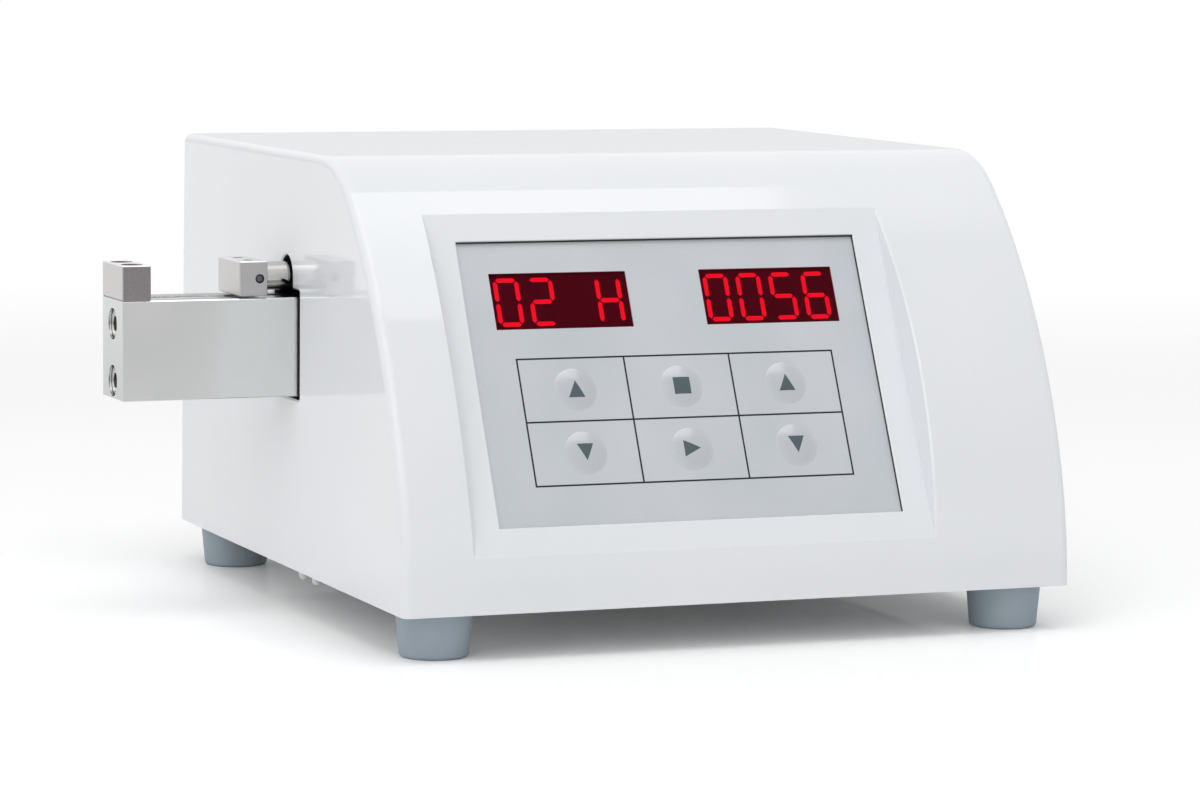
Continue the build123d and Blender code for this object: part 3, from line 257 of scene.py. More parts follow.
def makeGroundSteel(name, values):
    # ground steel whose colour is chosen by which way each face points: one tone on its front and
    # back, others on its ends and its top, as painted light and shade
    material, tree, shader = newMaterial(name, {
        "Metallic": 1.0, "Specular Tint": linear("#F8F8F8"),
    })
    mottle = addNode(tree, "TexNoise", {"Scale": 1 / values["mottle"],
                                        "Detail": values["mottleDetail"]},
                     {"Vector": objectPoint(tree)})
    lines = addNode(tree, "TexNoise", {"Scale": 1 / values["lineWidth"], "Detail": 3.0}, {
        "Vector": objectPoint(tree, (values["lineWidth"] / values["lineLength"], 1, 1))})
    front = addNode(tree, "Mix", {
        "data_type": "RGBA", 6: linear(values["frontLow"]), 7: linear(values["frontHigh"]),
    }, {"Factor": mottle.outputs["Fac"]})
    # which way a face points sets its painted light or shade
    facing = addNode(tree, "SeparateXYZ", links={
        "Vector": addNode(tree, "TexCoord").outputs["Normal"]})
    paintedFrontShare = addNode(tree, "MapRange", {"From Min": 0.6, "From Max": 0.9}, {
        "Value": addNode(tree, "Math", {"operation": "ABSOLUTE"},
                         {0: facing.outputs["Y"]}).outputs["Value"]})
    paintedTopShare = addNode(tree, "MapRange", {"From Min": values["paintedTopShare"][0],
                                       "From Max": values["paintedTopShare"][1]},
                    {"Value": facing.outputs["Z"]})
    rest = addNode(tree, "Mix",
                   {"data_type": "RGBA", 6: linear(values["ends"]), 7: linear(values["top"])},
                   {"Factor": paintedTopShare.outputs["Result"]})
    colour = addNode(tree, "Mix", {"data_type": "RGBA"},
                     {"Factor": paintedFrontShare.outputs["Result"], 6: rest.outputs[2], 7: front.outputs[2]})
    tree.links.new(colour.outputs[2], shader.inputs["Base Color"])
    rough = addNode(tree, "MapRange", {"To Min": values["rough"][0],
                                       "To Max": values["rough"][1]},
                    {"Value": lines.outputs["Fac"]})
    tree.links.new(rough.outputs["Result"], shader.inputs["Roughness"])
    raised = lines if values["linesRaised"] else mottle
    bump = addNode(tree, "Bump", {"Strength": values["bumpStrength"],
                                  "Distance": values["bumpDepth"]},
                   {"Height": raised.outputs["Fac"]})
    tree.links.new(bump.outputs["Normal"], shader.inputs["Normal"])
    return material


def makeThreadedSteel():
    # The same shaft steel with its rolled thread, drawn as a helix of the screw's lead
    values = {"lead": 4 * mm, "depth": 0.5 * mm, "patch": 2 * mm}
    material, tree, shader = newMaterial("rolledThreadSteel", {"Metallic": 1.0, "Roughness": 0.2})
    patch = addNode(tree, "TexNoise", {"Scale": 1 / values["patch"]},
                    {"Vector": objectPoint(tree)})
    colour = addNode(tree, "Mix",
                     {"data_type": "RGBA", 6: linear("#B4B1AC"), 7: linear("#C6C3BE")},
                     {"Factor": patch.outputs["Fac"]})
    tree.links.new(colour.outputs[2], shader.inputs["Base Color"])
    place = addNode(tree, "TexCoord")
    parts = addNode(tree, "SeparateXYZ", links={"Vector": addNode(
        tree, "VectorMath", {"operation": "SUBTRACT", 1: tuple(boxCentre("lead_screw"))},
        {0: place.outputs["Object"]}).outputs["Vector"]})
    angle = addNode(tree, "Math", {"operation": "ARCTAN2"},
                    {0: parts.outputs["Z"], 1: parts.outputs["Y"]})
    turn = addNode(tree, "Math", {"operation": "MULTIPLY", 1: values["lead"] / math.tau},
                   {0: angle.outputs["Value"]})
    along = addNode(tree, "Math", {"operation": "ADD"},
                    {0: parts.outputs["X"], 1: turn.outputs["Value"]})
    tooth = addNode(tree, "Math", {"operation": "PINGPONG", 1: values["lead"] / 4},
                    {0: along.outputs["Value"]})
    height = addNode(tree, "MapRange", {"From Max": values["lead"] / 4},
                     {"Value": tooth.outputs["Value"]})
    bump = addNode(tree, "Bump", {"Strength": 1.0, "Distance": values["depth"]},
                   {"Height": height.outputs["Result"]})
    tree.links.new(bump.outputs["Normal"], shader.inputs["Normal"])
    return material


def makeZinc():
    # Bright zinc plating: silvery with a cool cast and soft crystalline patches
    values = {"patch": 1.6 * mm}
    material, tree, shader = newMaterial("brightZincPlate", {"Metallic": 1.0})
    patch = addNode(tree, "TexVoronoi", {"Scale": 1 / values["patch"]},
                    {"Vector": objectPoint(tree)})
    tone = addNode(tree, "MapRange", {"From Max": 0.7},
                   {"Value": patch.outputs["Distance"]})
    colour = addNode(tree, "Mix",
                     {"data_type": "RGBA", 6: linear("#A9A9A8"), 7: linear("#BDBDBB")},
                     {"Factor": tone.outputs["Result"]})
    tree.links.new(colour.outputs[2], shader.inputs["Base Color"])
    rough = addNode(tree, "MapRange", {"From Max": 0.7, "To Min": 0.22, "To Max": 0.34},
                    {"Value": patch.outputs["Distance"]})
    tree.links.new(rough.outputs["Result"], shader.inputs["Roughness"])
    return material


def makeSolderResist():
    # Circuit board with solder resist: deep green over faint copper tracks
    values = {"track": 2.5 * mm}
    material, tree, shader = newMaterial("greenSolderResist", {"Roughness": 0.3, "IOR": 1.55})
    tracks = addNode(tree, "TexVoronoi", {"distance": "MANHATTAN", "feature": "F1",
                                          "Scale": 1 / values["track"]},
                     {"Vector": objectPoint(tree)})
    edge = addNode(tree, "MapRange", {"From Min": 0.35, "From Max": 0.4},
                   {"Value": tracks.outputs["Distance"]})
    colour = addNode(tree, "Mix",
                     {"data_type": "RGBA", 6: linear("#0F5A38"), 7: linear("#1B6D47")},
                     {"Factor": edge.outputs["Result"]})
    tree.links.new(colour.outputs[2], shader.inputs["Base Color"])
    return material


def makeBlackMoulding(name, low, high, roughness):
    # charcoal to black, with the sparked texture of a mould
    return mottled(name, {"Roughness": roughness, "IOR": 1.5},
                   {"size": 0.28 * mm, "detail": 3.0, "low": low, "high": high},
                   relief={"size": 0.28 * mm, "detail": 3.0, "strength": 0.4, "depth": 0.02 * mm})


# High gloss moulded ABS: bright white, clear reflections that waver a little
housingPlastic = mottled(
    "mouldedGlossAbs", {"Roughness": 0.08, "IOR": 1.5},
    {"size": 70 * mm, "detail": 1.0, "low": "#E6E9ED", "high": "#EBEDF0"},
    relief={"size": 16 * mm, "detail": 1.0, "strength": 1.0, "depth": 0.006 * mm})
foilPrint = makeFoil()
# The same foil stretched over the keys' domes: its grain is pulled smooth, so it is glossier
domeFoil = mottled(
    "embossedPolyesterFoil", {"Roughness": 0.2, "IOR": 1.64, "Specular IOR Level": 0.7},
    {"size": 34 * mm, "detail": 1.0, "low": "#BEC3C9", "high": "#C6CACF"})
# Screen printed ink on the foil: matt blue grey, slightly uneven in density
symbolInk = mottled(
    "screenPrintedInk", {"Roughness": 0.5, "IOR": 1.48, "Specular IOR Level": 0.3},
    {"size": 0.3 * mm, "detail": 2.0, "low": "#4C5A5F", "high": "#5A686C"})
# The grid's thin lines are printed denser than the symbols, almost black
lineInk = mottled(
    "denseGridInk", {"Roughness": 0.5, "IOR": 1.48, "Specular IOR Level": 0.3},
    {"size": 0.3 * mm, "detail": 2.0, "low": "#20262B", "high": "#2B3237"})
redFilter = makeRedFilter()
# Painted reflector of the display modules: dull dark grey, near black behind the filter
displayFace = mottled(
    "paintedReflector", {"Roughness": 0.6, "IOR": 1.5},
    {"size": 0.4 * mm, "detail": 2.0, "low": "#585458", "high": "#625E62"})
litSegment = makeLitSegment()
# Stainless steel, finely ground and vapour blasted: satin, pale, faint lines along the bar; its top
# and cut end are painted darker than its sides, as painted shade
armSteel = makeGroundSteel("satinGroundStainless", {
    "mottle": 22 * mm, "mottleDetail": 1.0, "frontLow": "#E6E8E7", "frontHigh": "#EEEFEE",
    "ends": "#CACCCB", "top": "#ABADAC", "paintedTopShare": (0.6, 0.9),
    "lineWidth": 0.25 * mm, "lineLength": 12 * mm, "rough": (0.16, 0.2), "linesRaised": True,
    "bumpStrength": 0.12, "bumpDepth": 0.008 * mm})
# Hardened tool steel, surface ground: its top is painted bright as a painted highlight and its
# sides a paler grey, its front and back mottled and darker as painted shade; the fixed jaw's front
# is darker again
jawFinishAndPaintedShade = {
    "mottle": 0.7 * mm, "mottleDetail": 4.0, "ends": "#CAC9C8", "top": "#F2F1F0",
    "paintedTopShare": (0.5, 0.8), "lineWidth": 0.2 * mm, "lineLength": 5 * mm, "rough": (0.26, 0.4),
    "linesRaised": False, "bumpStrength": 0.4, "bumpDepth": 0.01 * mm}
fixedJawSteel = makeGroundSteel("groundToolSteelDark",
                                {**jawFinishAndPaintedShade, "frontLow": "#8B8587", "frontHigh": "#A49EA0"})
movingJawSteel = makeGroundSteel("groundToolSteelLight",
                                 {**jawFinishAndPaintedShade, "frontLow": "#BCB9B9", "frontHigh": "#CAC7C7"})
# Hardened shaft steel, centreless ground: near mirror with the finest rings round it
shaftSteel = mottled(
    "polishedShaftSteel", {"Metallic": 1.0},
    {"size": 0.3 * mm, "detail": 2.0, "low": "#CFCDCA", "high": "#DAD8D5"},
    rough=(0.05, 0.1), stretch=(1, 0.03, 0.03))
threadSteel = makeThreadedSteel()
zincPlate = makeZinc()
# Clear anodised aluminium, milled then etched: pale, silky, no mirror in it
anodised = mottled(
    "clearAnodisedAluminium", {"Metallic": 1.0},
    {"size": 0.3 * mm, "detail": 3.0, "low": "#BFC2C5", "high": "#CACDD0"}, rough=(0.4, 0.52))
# Powder coated sheet steel: light grey with the orange peel that the powder leaves
powderCoat = mottled(
    "powderCoatedSteel", {"Roughness": 0.48, "IOR": 1.5},
    {"size": 0.9 * mm, "detail": 1.0, "low": "#D2D4D6", "high": "#DADCDD"},
    relief={"size": 0.9 * mm, "detail": 1.0, "strength": 0.5, "depth": 0.03 * mm})
# Moulded rubber feet: blue grey, matt, a slight bloom and the mould's fine texture
footRubber = mottled(
    "mouldedBlueGreyRubber", {"Roughness": 0.62, "IOR": 1.51, "Specular IOR Level": 0.35},
    {"size": 9 * mm, "detail": 2.0, "low": "#95A2AC", "high": "#A2AEB6"},
    relief={"size": 0.5 * mm, "detail": 2.0, "strength": 0.4, "depth": 0.03 * mm})
# Natural nylon rivets: off white and slightly waxy
nylon = mottled(
    "naturalNylon", {"Roughness": 0.38, "IOR": 1.53, "Subsurface Weight": 0.1,
                     "Subsurface Radius": (1.0, 0.9, 0.8), "Subsurface Scale": 0.6 * mm},
    {"size": 3 * mm, "detail": 1.0, "low": "#DEDFDC", "high": "#E6E7E4"})
# Glass filled nylon is a satin charcoal, the rocker's polycarbonate a glossy black, a dull black
# serves as painted shade in gaps and holes, and the motor's paint is a dark grey with some sheen
blackMoulding = makeBlackMoulding("blackGlassFilledNylon", "#17181A", "#202124", 0.5)
rockerPlastic = makeBlackMoulding("blackPolycarbonate", "#101113", "#16171A", 0.25)
paintedShadeBlack = makeBlackMoulding("blackPaintedShade", "#131416", "#1A1B1D", 0.6)
motorPaint = makeBlackMoulding("blackMotorPaint", "#1B1C1E", "#27282B", 0.42)
# Black oxide on alloy steel, drawn a mid grey all over as a painted sheen; its socket is dark from
# its depth
blackOxide = mottled(
    "blackOxideSteel", {"Metallic": 1.0, "Roughness": 0.22},
    {"size": 0.6 * mm, "detail": 2.0, "low": "#5C5C5F", "high": "#767679"})
solderResist = makeSolderResist()
# Turned brass: warm yellow with tool marks round it
brass = mottled(
    "turnedBrass", {"Metallic": 1.0},
    {"size": 0.35 * mm, "detail": 2.0, "low": "#C9A35C", "high": "#DDBB74"},
    rough=(0.2, 0.36), stretch=(1, 0.05, 0.05))
# Pad printed white paint in the switch's marks
markPaint = mottled(
    "padPrintedWhite", {"Roughness": 0.5, "IOR": 1.5},
    {"size": 0.4 * mm, "detail": 2.0, "low": "#D6D6D4", "high": "#ECECEA"})

nodeMaterials = [
    (housingPlastic, ["housing_cover"]), (foilPrint, ["keypad_foil"]), (nylon, ["base_rivets"]),
    (armSteel, ["measuring_arm"]), (fixedJawSteel, ["fixed_jaw"]), (movingJawSteel, ["moving_jaw"]),
    (threadSteel, ["lead_screw"]), (motorPaint, ["stepper_motor"]),
    (rockerPlastic, ["power_rocker"]), (powderCoat, ["power_supply", "base_plate"]),
    (displayFace, ["display_left", "display_right"]),
    (solderResist, ["display_board", "main_board"]), (brass, ["spindle_nut", "inlet_pins"]),
    (footRubber, ["foot_front_left", "foot_front_right", "foot_rear_left", "foot_rear_right"]),
    (blackMoulding, ["key_switches", "home_sensor", "mains_inlet", "rocker_bezel", "board_parts"]),
    (shaftSteel, ["push_rod", "rail_runner", "motor_shaft", "guide_bush", "guide_rail",
                  "screw_bearing"]),
    (anodised, ["keypad_plate", "load_cell", "ram_carriage", "shaft_coupling", "drive_frame",
                "rear_panel", "frame_leg_left", "frame_leg_right"]),
    (zincPlate, ["board_pillars", "arm_screws", "jaw_screws", "jaw_grub_screws", "motor_pillars",
                 "printer_port", "main_board_pillars", "foot_screws", "cover_screws",
                 "leg_screws"]),
]
for material, names in nodeMaterials:
    for name in names:
        nodes[name].data.materials.clear()
        nodes[name].data.materials.append(material)
print("materials on", sum(len(names) for material, names in nodeMaterials), "nodes")


# the panel's own frame: x to the right, y up the slope, z out of the foil's face

panel = {"foilThickness": 0.5 * mm, "printRise": 0.03 * mm, "printSink": 0.01 * mm}
panelOut = -Vector(joints["key_stop_press"]["axis"]).normalized()
panelUp = Vector((0, panelOut.z, -panelOut.y))
foilLow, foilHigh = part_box("keypad_foil")
panelCentre = (foilLow + foilHigh) / 2 + panelOut * panel["foilThickness"] / 2
panelPlace = Matrix.Translation(panelCentre) @ Matrix((
    (1, 0, 0), (0, panelUp.y, panelOut.y), (0, panelUp.z, panelOut.z))).to_4x4()


def onPanel(name):
    # the middle of a node's box in the panel's frame, on a key's axis whatever its height
    return panelPlace.inverted() @ boxCentre(name)


# key domes, embossed in the foil, with their printed symbols

dome = {"radius": 7.56 * mm, "crown": 1.0 * mm, "roundness": 2.3, "rings": 14, "steps": 64,
        "flangeRadius": 8.5 * mm, "flangeTop": -0.55 * mm, "flangeLow": -1.45 * mm,
        "symbolRise": 0.02 * mm, "symbolSize": 6.0 * mm, "symbolCuts": 7}


def domeHeight(radius):
    # a little flatter on top than a ball
    share = min(radius / dome["radius"], 1.0)
    return dome["crown"] * (1 - share ** dome["roundness"])


def makeDome(name):
    centre = onPanel(name)
    profile = [(0, dome["flangeLow"]), (dome["flangeRadius"], dome["flangeLow"]),
               (dome["flangeRadius"], dome["flangeTop"]), (dome["radius"], dome["flangeTop"])]
    for step in range(dome["rings"] + 1):
        radius = dome["radius"] * math.cos(step / dome["rings"] * math.pi / 2)
        profile.append((radius, domeHeight(radius)))
    shape = bmesh.new()
    turned(shape, profile, (centre.x, centre.y, 0), dome["steps"])
    piece = newPiece(name.replace("key_", "dome_"), shape, domeFoil, name,
                     smoothAngle=60, place=panelPlace)
    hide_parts(name)


def makeSymbol(name, outline):
    # a small printed shape that follows the dome it lies on
    centre = onPanel(name)
    size = dome["symbolSize"]
    shape = bmesh.new()
    shape.faces.new([shape.verts.new((x * size, y * size, 0)) for x, y in outline])
    bmesh.ops.subdivide_edges(shape, edges=shape.edges, cuts=dome["symbolCuts"], use_grid_fill=True)
    pullUp(shape, shape.faces[:], dome["symbolRise"])
    for point in shape.verts:
        point.co.z += domeHeight(math.hypot(point.co.x, point.co.y)) - dome["symbolRise"] / 4
    bmesh.ops.translate(shape, vec=(centre.x, centre.y, 0), verts=shape.verts)
    newPiece(name.replace("key_", "symbol_"), shape, symbolInk, name, place=panelPlace)


# outlines as shares of the symbol's size
symbolOutlines = {
    "up": [(-0.49, -0.5), (0.49, -0.5), (0, 0.5)],
    "down": [(-0.49, 0.5), (0, -0.5), (0.49, 0.5)],
    "play": [(-0.5, -0.49), (0.5, 0), (-0.5, 0.49)],
    "stop": [(-0.5, -0.5), (0.5, -0.5), (0.5, 0.5), (-0.5, 0.5)],
}
keySymbols = {"key_upper_left": "up", "key_stop": "stop", "key_upper_right": "up",
              "key_lower_left": "down", "key_start": "play", "key_lower_right": "down"}
for name, symbol in keySymbols.items():
    makeDome(name)
    makeSymbol(name, symbolOutlines[symbol])
print("keys and symbols ready")


# the printed grid round the keys

grid = {"width": 114.6 * mm, "height": 44.9 * mm, "drop": 13.8 * mm, "line": 0.6 * mm,
        "columns": 3, "rows": 2}


def makeGrid():
    # the sheet is cut at both sides of each line, and the cells between the lines are taken out
    shape = bmesh.new()
    line = grid["line"]
    bmesh.ops.create_grid(shape, x_segments=1, y_segments=1, size=0.5)
    bmesh.ops.scale(shape, vec=(grid["width"] + line, grid["height"] + line, 1), verts=shape.verts)
    for axis, extent, count in ((0, "width", grid["columns"]), (1, "height", grid["rows"])):
        normal = Vector((1 - axis, axis, 0))
        pitch = grid[extent] / count
        for number in range(count + 1):
            for side in (-line / 2, line / 2):
                bmesh.ops.bisect_plane(shape, geom=shape.verts[:] + shape.edges[:] + shape.faces[:],
                                       plane_co=normal * ((number - count / 2) * pitch + side),
                                       plane_no=normal)
    cells = [face for face in shape.faces
             if min(edge.calc_length() for edge in face.edges) > 2 * line]
    bmesh.ops.delete(shape, geom=cells, context="FACES")
    pullUp(shape, shape.faces[:], panel["printRise"] + panel["printSink"])
    bmesh.ops.translate(shape, vec=(0, -grid["drop"], -panel["printSink"]), verts=shape.verts)
    newPiece("panelGrid", shape, lineInk, "housing", place=panelPlace)


makeGrid()


# displays: the red filters and the lit segments behind them

windows = {"width": 49 * mm, "height": 20 * mm, "thickness": 1.4 * mm, "bevel": 0.12 * mm,
           "maskDepth": 1.5 * mm, "maskThickness": 0.05 * mm, "glowRise": 0.04 * mm}
digits = {"width": 9.2 * mm, "height": 17.4 * mm, "stroke": 1.6 * mm, "pitch": 12.15 * mm,
          "shift": -0.35 * mm, "gap": 0.3 * mm}
digitSegments = {"0": "abcdef", "2": "abged", "5": "afgcd", "6": "afgcde", "H": "fbgec", " ": ""}


def makePane(name, side, material, depth, thickness, bevel=0):
    # a pane as large as the window, whose back lies at a depth under the foil's face
    centre = onPanel("window_" + side)
    shape = bmesh.new()
    bmesh.ops.create_cube(shape, size=1)
    bmesh.ops.scale(shape, vec=(windows["width"], windows["height"], thickness), verts=shape.verts)
    if bevel:
        front = [edge for edge in shape.edges if all(point.co.z > 0 for point in edge.verts)]
        bmesh.ops.bevel(shape, geom=front, offset=bevel, segments=1, profile=0.5,
                        affect="EDGES", material=-1)
    bmesh.ops.translate(shape, vec=(centre.x, centre.y, thickness / 2 - depth), verts=shape.verts)
    return newPiece(name + side.capitalize(), shape, material, "housing",
                    place=panelPlace)


def segmentOutline(letter):
    # one long hexagon with mitred ends, level or upright, about the digit's centre
    half = digits["stroke"] / 2
    reachX = digits["width"] / 2 - half
    reachY = digits["height"] / 2 - half
    shiftX, shiftY = {"a": (0, reachY), "d": (0, -reachY), "g": (0, 0),
                      "b": (reachX, reachY / 2), "c": (reachX, -reachY / 2),
                      "f": (-reachX, reachY / 2), "e": (-reachX, -reachY / 2)}[letter]
    level = letter in "adg"
    end = (reachX if level else reachY / 2) - digits["gap"]
    outline = [(-end, 0), (half - end, -half), (end - half, -half),
               (end, 0), (end - half, half), (half - end, half)]
    return [(x + shiftX, y + shiftY) if level else (y + shiftX, x + shiftY) for x, y in outline]


def makeDigits(side, text):
    centre = onPanel("window_" + side)
    low = windows["maskThickness"] - windows["maskDepth"]
    shape = bmesh.new()
    for place, character in enumerate(text):
        middle = centre.x + digits["shift"] + (place - (len(text) - 1) / 2) * digits["pitch"]
        for letter in digitSegments[character]:
            outline = [(middle + x, centre.y + y) for x, y in segmentOutline(letter)]
            flatSlab(shape, outline, low, low + windows["glowRise"])
    newPiece("digits" + side.capitalize(), shape, litSegment, "housing",
             place=panelPlace)


for side in ("left", "right"):
    # the acrylic pane, its front edges polished off
    piece = makePane("filter", side, redFilter, windows["thickness"], windows["thickness"],
                     windows["bevel"])
    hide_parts("window_" + side)
    # the dark sheet behind it, as large as the pane, so that no ledge shows through
    makePane("mask", side, displayFace, windows["maskDepth"], windows["maskThickness"])
makeDigits("left", "02 H")
makeDigits("right", "0056")
print("displays ready")


# the steel parts whose edges the maker broke, so that they catch the light

eased = {"width": 0.22 * mm, "shortest": 3 * mm, "sharp": 50, "level": 1, "flat": 0.9995}


def easedCopy(node, name, material, body):
    # a merged copy of the node with its long sharp edges bevelled
    shape = mergedCopy(node)
    bmesh.ops.dissolve_limit(shape, angle_limit=math.radians(eased["level"]), verts=shape.verts,
                             edges=shape.edges)
    edges = [edge for edge in shape.edges
             if len(edge.link_faces) == 2 and edge.calc_length() > eased["shortest"]
             and edge.calc_face_angle(0) > math.radians(eased["sharp"])]
    bmesh.ops.bevel(shape, geom=edges, offset=eased["width"], segments=2, profile=0.5,
                    affect="EDGES", material=-1, clamp_overlap=True)
    piece = newPiece(name, shape, material, body, smoothAngle=20)
    for face in piece.data.polygons:    # the flats stay flat up to their eased edges
        if max(abs(part) for part in face.normal) > eased["flat"]:
            face.use_smooth = False
    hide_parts(node)


easedCopy("measuring_arm", "armBar", armSteel, "housing")
easedCopy("fixed_jaw", "fixedJawBlock", fixedJawSteel, "housing")
easedCopy("moving_jaw", "movingJawBlock", movingJawSteel, "ram")
print("eased edges ready")


# painted shade: black strips along the panel's top and right edges as painted shadow, and a black
# sheet over the arm's opening's inner walls as painted shade

trim = {"shadowStripOuter": 0.19 * mm, "shadowStripInner": 0.02 * mm, "shadowStripLow": -0.5 * mm,
        "shadowStripTop": 1.1 * mm, "shadowStripRight": 0.7 * mm, "shadeThickness": 0.3 * mm, "edge": 1.0 * mm,
        "wall": 3.2 * mm, "lean": 0.5, "besideArm": 4 * mm, "overArm": 18 * mm}


def makePanelShadowStrips():
    # two thin black strips between the panel's edge and the wall of its pocket, a painted shadow in
    # that gap
    wide = (foilHigh.x - foilLow.x) / 2
    tall = (foilHigh.z - foilLow.z - panel["foilThickness"] * panelOut.z) / panelUp.z / 2
    inner, outer = trim["shadowStripInner"], trim["shadowStripOuter"]
    shape = bmesh.new()
    flatSlab(shape, rectangle(-wide, wide + outer, tall + inner, tall + outer),
             trim["shadowStripLow"], trim["shadowStripTop"])
    flatSlab(shape, rectangle(wide + inner, wide + outer, -tall, tall + inner),
             trim["shadowStripLow"], trim["shadowStripRight"])
    newPiece("panelShadowStrips", shape, paintedShadeBlack, "housing", place=panelPlace)


def makeOpeningShade():
    # a copy of the opening's inner walls, thickened towards the arm, in black as painted shade
    # inside the opening
    shape = mergedCopy("housing_cover")
    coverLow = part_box("housing_cover")[0]
    armLow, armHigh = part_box("measuring_arm")
    beside = trim["besideArm"]
    others = []
    for face in shape.faces:
        point = face.calc_center_median()
        inWall = (trim["edge"] < point.x - coverLow.x < trim["wall"]
                  and abs(face.normal.x) < trim["lean"])
        byArm = (armLow.y - beside < point.y < armHigh.y + beside
                 and armLow.z - beside < point.z < armHigh.z + trim["overArm"])
        if not (inWall and byArm):
            others.append(face)
    bmesh.ops.delete(shape, geom=others, context="FACES")
    bmesh.ops.solidify(shape, geom=shape.faces[:], thickness=-trim["shadeThickness"])
    newPiece("openingPaintedShade", shape, paintedShadeBlack, "housing", smoothAngle=35)


makePanelShadowStrips()
makeOpeningShade()


# the moving jaw's small clamping screws, sunk in their holes

grub = {"frontRadius": 1.55 * mm, "topRadius": 1.75 * mm, "spacing": 11.8 * mm,
        "length": 2.2 * mm, "thread": 0.5 * mm, "threadDrop": 0.1 * mm, "rim": 0.2,
        "socket": 0.68, "socketDepth": 1.9 * mm, "segments": 36}


def moveNew(shape, before, place):
    # moves only what came after the points in before
    own = [point for point in shape.verts if point not in before]
    bmesh.ops.transform(shape, matrix=place, verts=own)


def socketScrew(shape, radius, place):
    # a short bar along z whose top face is inset, drawn onto a hexagon and sunk
    before = set(shape.verts)
    bar = bmesh.ops.create_cone(shape, cap_ends=True, segments=grub["segments"], radius1=radius,
                                radius2=radius, depth=grub["length"],
                                matrix=Matrix.Translation((0, 0, -grub["length"] / 2)))
    top = max((face for point in bar["verts"] for face in point.link_faces),
              key=lambda face: face.calc_center_median().z)
    bmesh.ops.inset_individual(shape, faces=[top], thickness=radius * grub["rim"])
    for point in top.verts:
        angle = math.atan2(point.co.y, point.co.x)
        offCentre = angle % math.radians(60) - math.radians(30)
        reach = radius * grub["socket"] / math.cos(offCentre)
        point.co = Vector((math.cos(angle), math.sin(angle), 0)) * reach
    pullUp(shape, [top], -grub["socketDepth"])
    moveNew(shape, before, place)


def makeGrubScrews():
    # two screws in the jaw's top and one in its front, each ringed by its thread, drawn black as
    # painted shade in the hole
    low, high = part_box("jaw_grub_screws")
    topX, topY = low.x + grub["topRadius"], high.y - grub["topRadius"]
    places = [(grub["topRadius"], Matrix.Translation((topX, topY - back, high.z)))
              for back in (0, grub["spacing"])]
    front = (high.x - grub["frontRadius"], low.y, boxCentre("push_rod").z)
    places.append((grub["frontRadius"],
                   Matrix.Translation(front) @ Matrix.Rotation(math.radians(90), 4, "X")))
    screws = bmesh.new()
    threadShade = bmesh.new()
    for radius, place in places:
        core = radius - grub["thread"]
        socketScrew(screws, core, place)
        before = set(threadShade.verts)
        turned(threadShade, ringProfile(core, radius, -grub["length"], -grub["threadDrop"]),
               steps=grub["segments"])
        moveNew(threadShade, before, place)
    piece = newPiece("grubScrews", screws, blackOxide, "ram", smoothAngle=30)
    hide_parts("jaw_grub_screws")
    newPiece("grubThreadShade", threadShade, paintedShadeBlack, "ram", smoothAngle=30)


makeGrubScrews()
print("trims and small screws ready")


# the back: screws of the mains inlet, the serial socket's face and the rocker's marks,
# in a frame with x to the left, y up and z out of the back

backPlace = Matrix(((-1, 0, 0), (0, 0, 1), (0, 1, 0))).to_4x4()


def onBack(name):
    # the middle of a node's box across and up, and the plane that it ends in
    centre = boxCentre(name)
    return -centre.x, centre.z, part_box(name)[1].y


# the head's outline runs from its middle round its edge to its recess, as shares of its
# radius and rise
inlet = {"spacing": 40 * mm, "headRadius": 2.9 * mm, "headRise": 1.3 * mm, "headSteps": 32,
         "headOutline": [(0, 0), (1, 0), (1, 0.35), (0.9, 0.68), (0.66, 0.9), (0.42, 1)],
         "crossWidth": 0.8 * mm, "crossLength": 3.4 * mm, "crossDepth": 0.7 * mm,
         "crossDrop": 0.55}


def makeInletScrews():
    # pan heads with a cross recess
    middle, height, back = onBack("mains_inlet")
    rise, depth = inlet["headRise"], inlet["crossDepth"]
    half, reach = inlet["crossWidth"] / 2, inlet["crossLength"] / 2
    top = back + rise
    profile = [(share * inlet["headRadius"], up * rise) for share, up in inlet["headOutline"]]
    profile += [(profile[-1][0], rise - depth), (0, rise - depth)]
    shape = bmesh.new()
    for side in (-1, 1):
        x = middle + side * inlet["spacing"] / 2
        turned(shape, profile, (x, height, back), inlet["headSteps"])
        for one, two in ((reach, half), (half, reach)):
            flatSlab(shape, rectangle(x - one, x + one, height - two, height + two),
                     top - depth, top - depth * inlet["crossDrop"])
    newPiece("inletScrews", shape, zincPlate, "housing", smoothAngle=40,
             place=backPlace)


port = {"spacing": 25 * mm, "nutFlats": 4.9 * mm, "nutLow": 1.2 * mm, "nutRise": 5.2 * mm,
        "nutRim": 0.01 * mm, "boreRadius": 1.4 * mm, "boreDepth": 0.2 * mm, "nose": 5.0 * mm,
        "faceRise": 0.3 * mm, "faceSink": 0.1 * mm, "faceWidth": 15.2 * mm,
        "faceHeight": 6.8 * mm, "faceLean": 1.0 * mm, "pinPitch": 2.74 * mm,
        "rowPitch": 2.84 * mm, "pinRadius": 0.62 * mm, "pinBore": 0.6, "pinSink": 0.1 * mm,
        "pinRise": 0.05 * mm, "pinSteps": 16, "pinRows": ((0.5, 5), (-0.5, 4))}


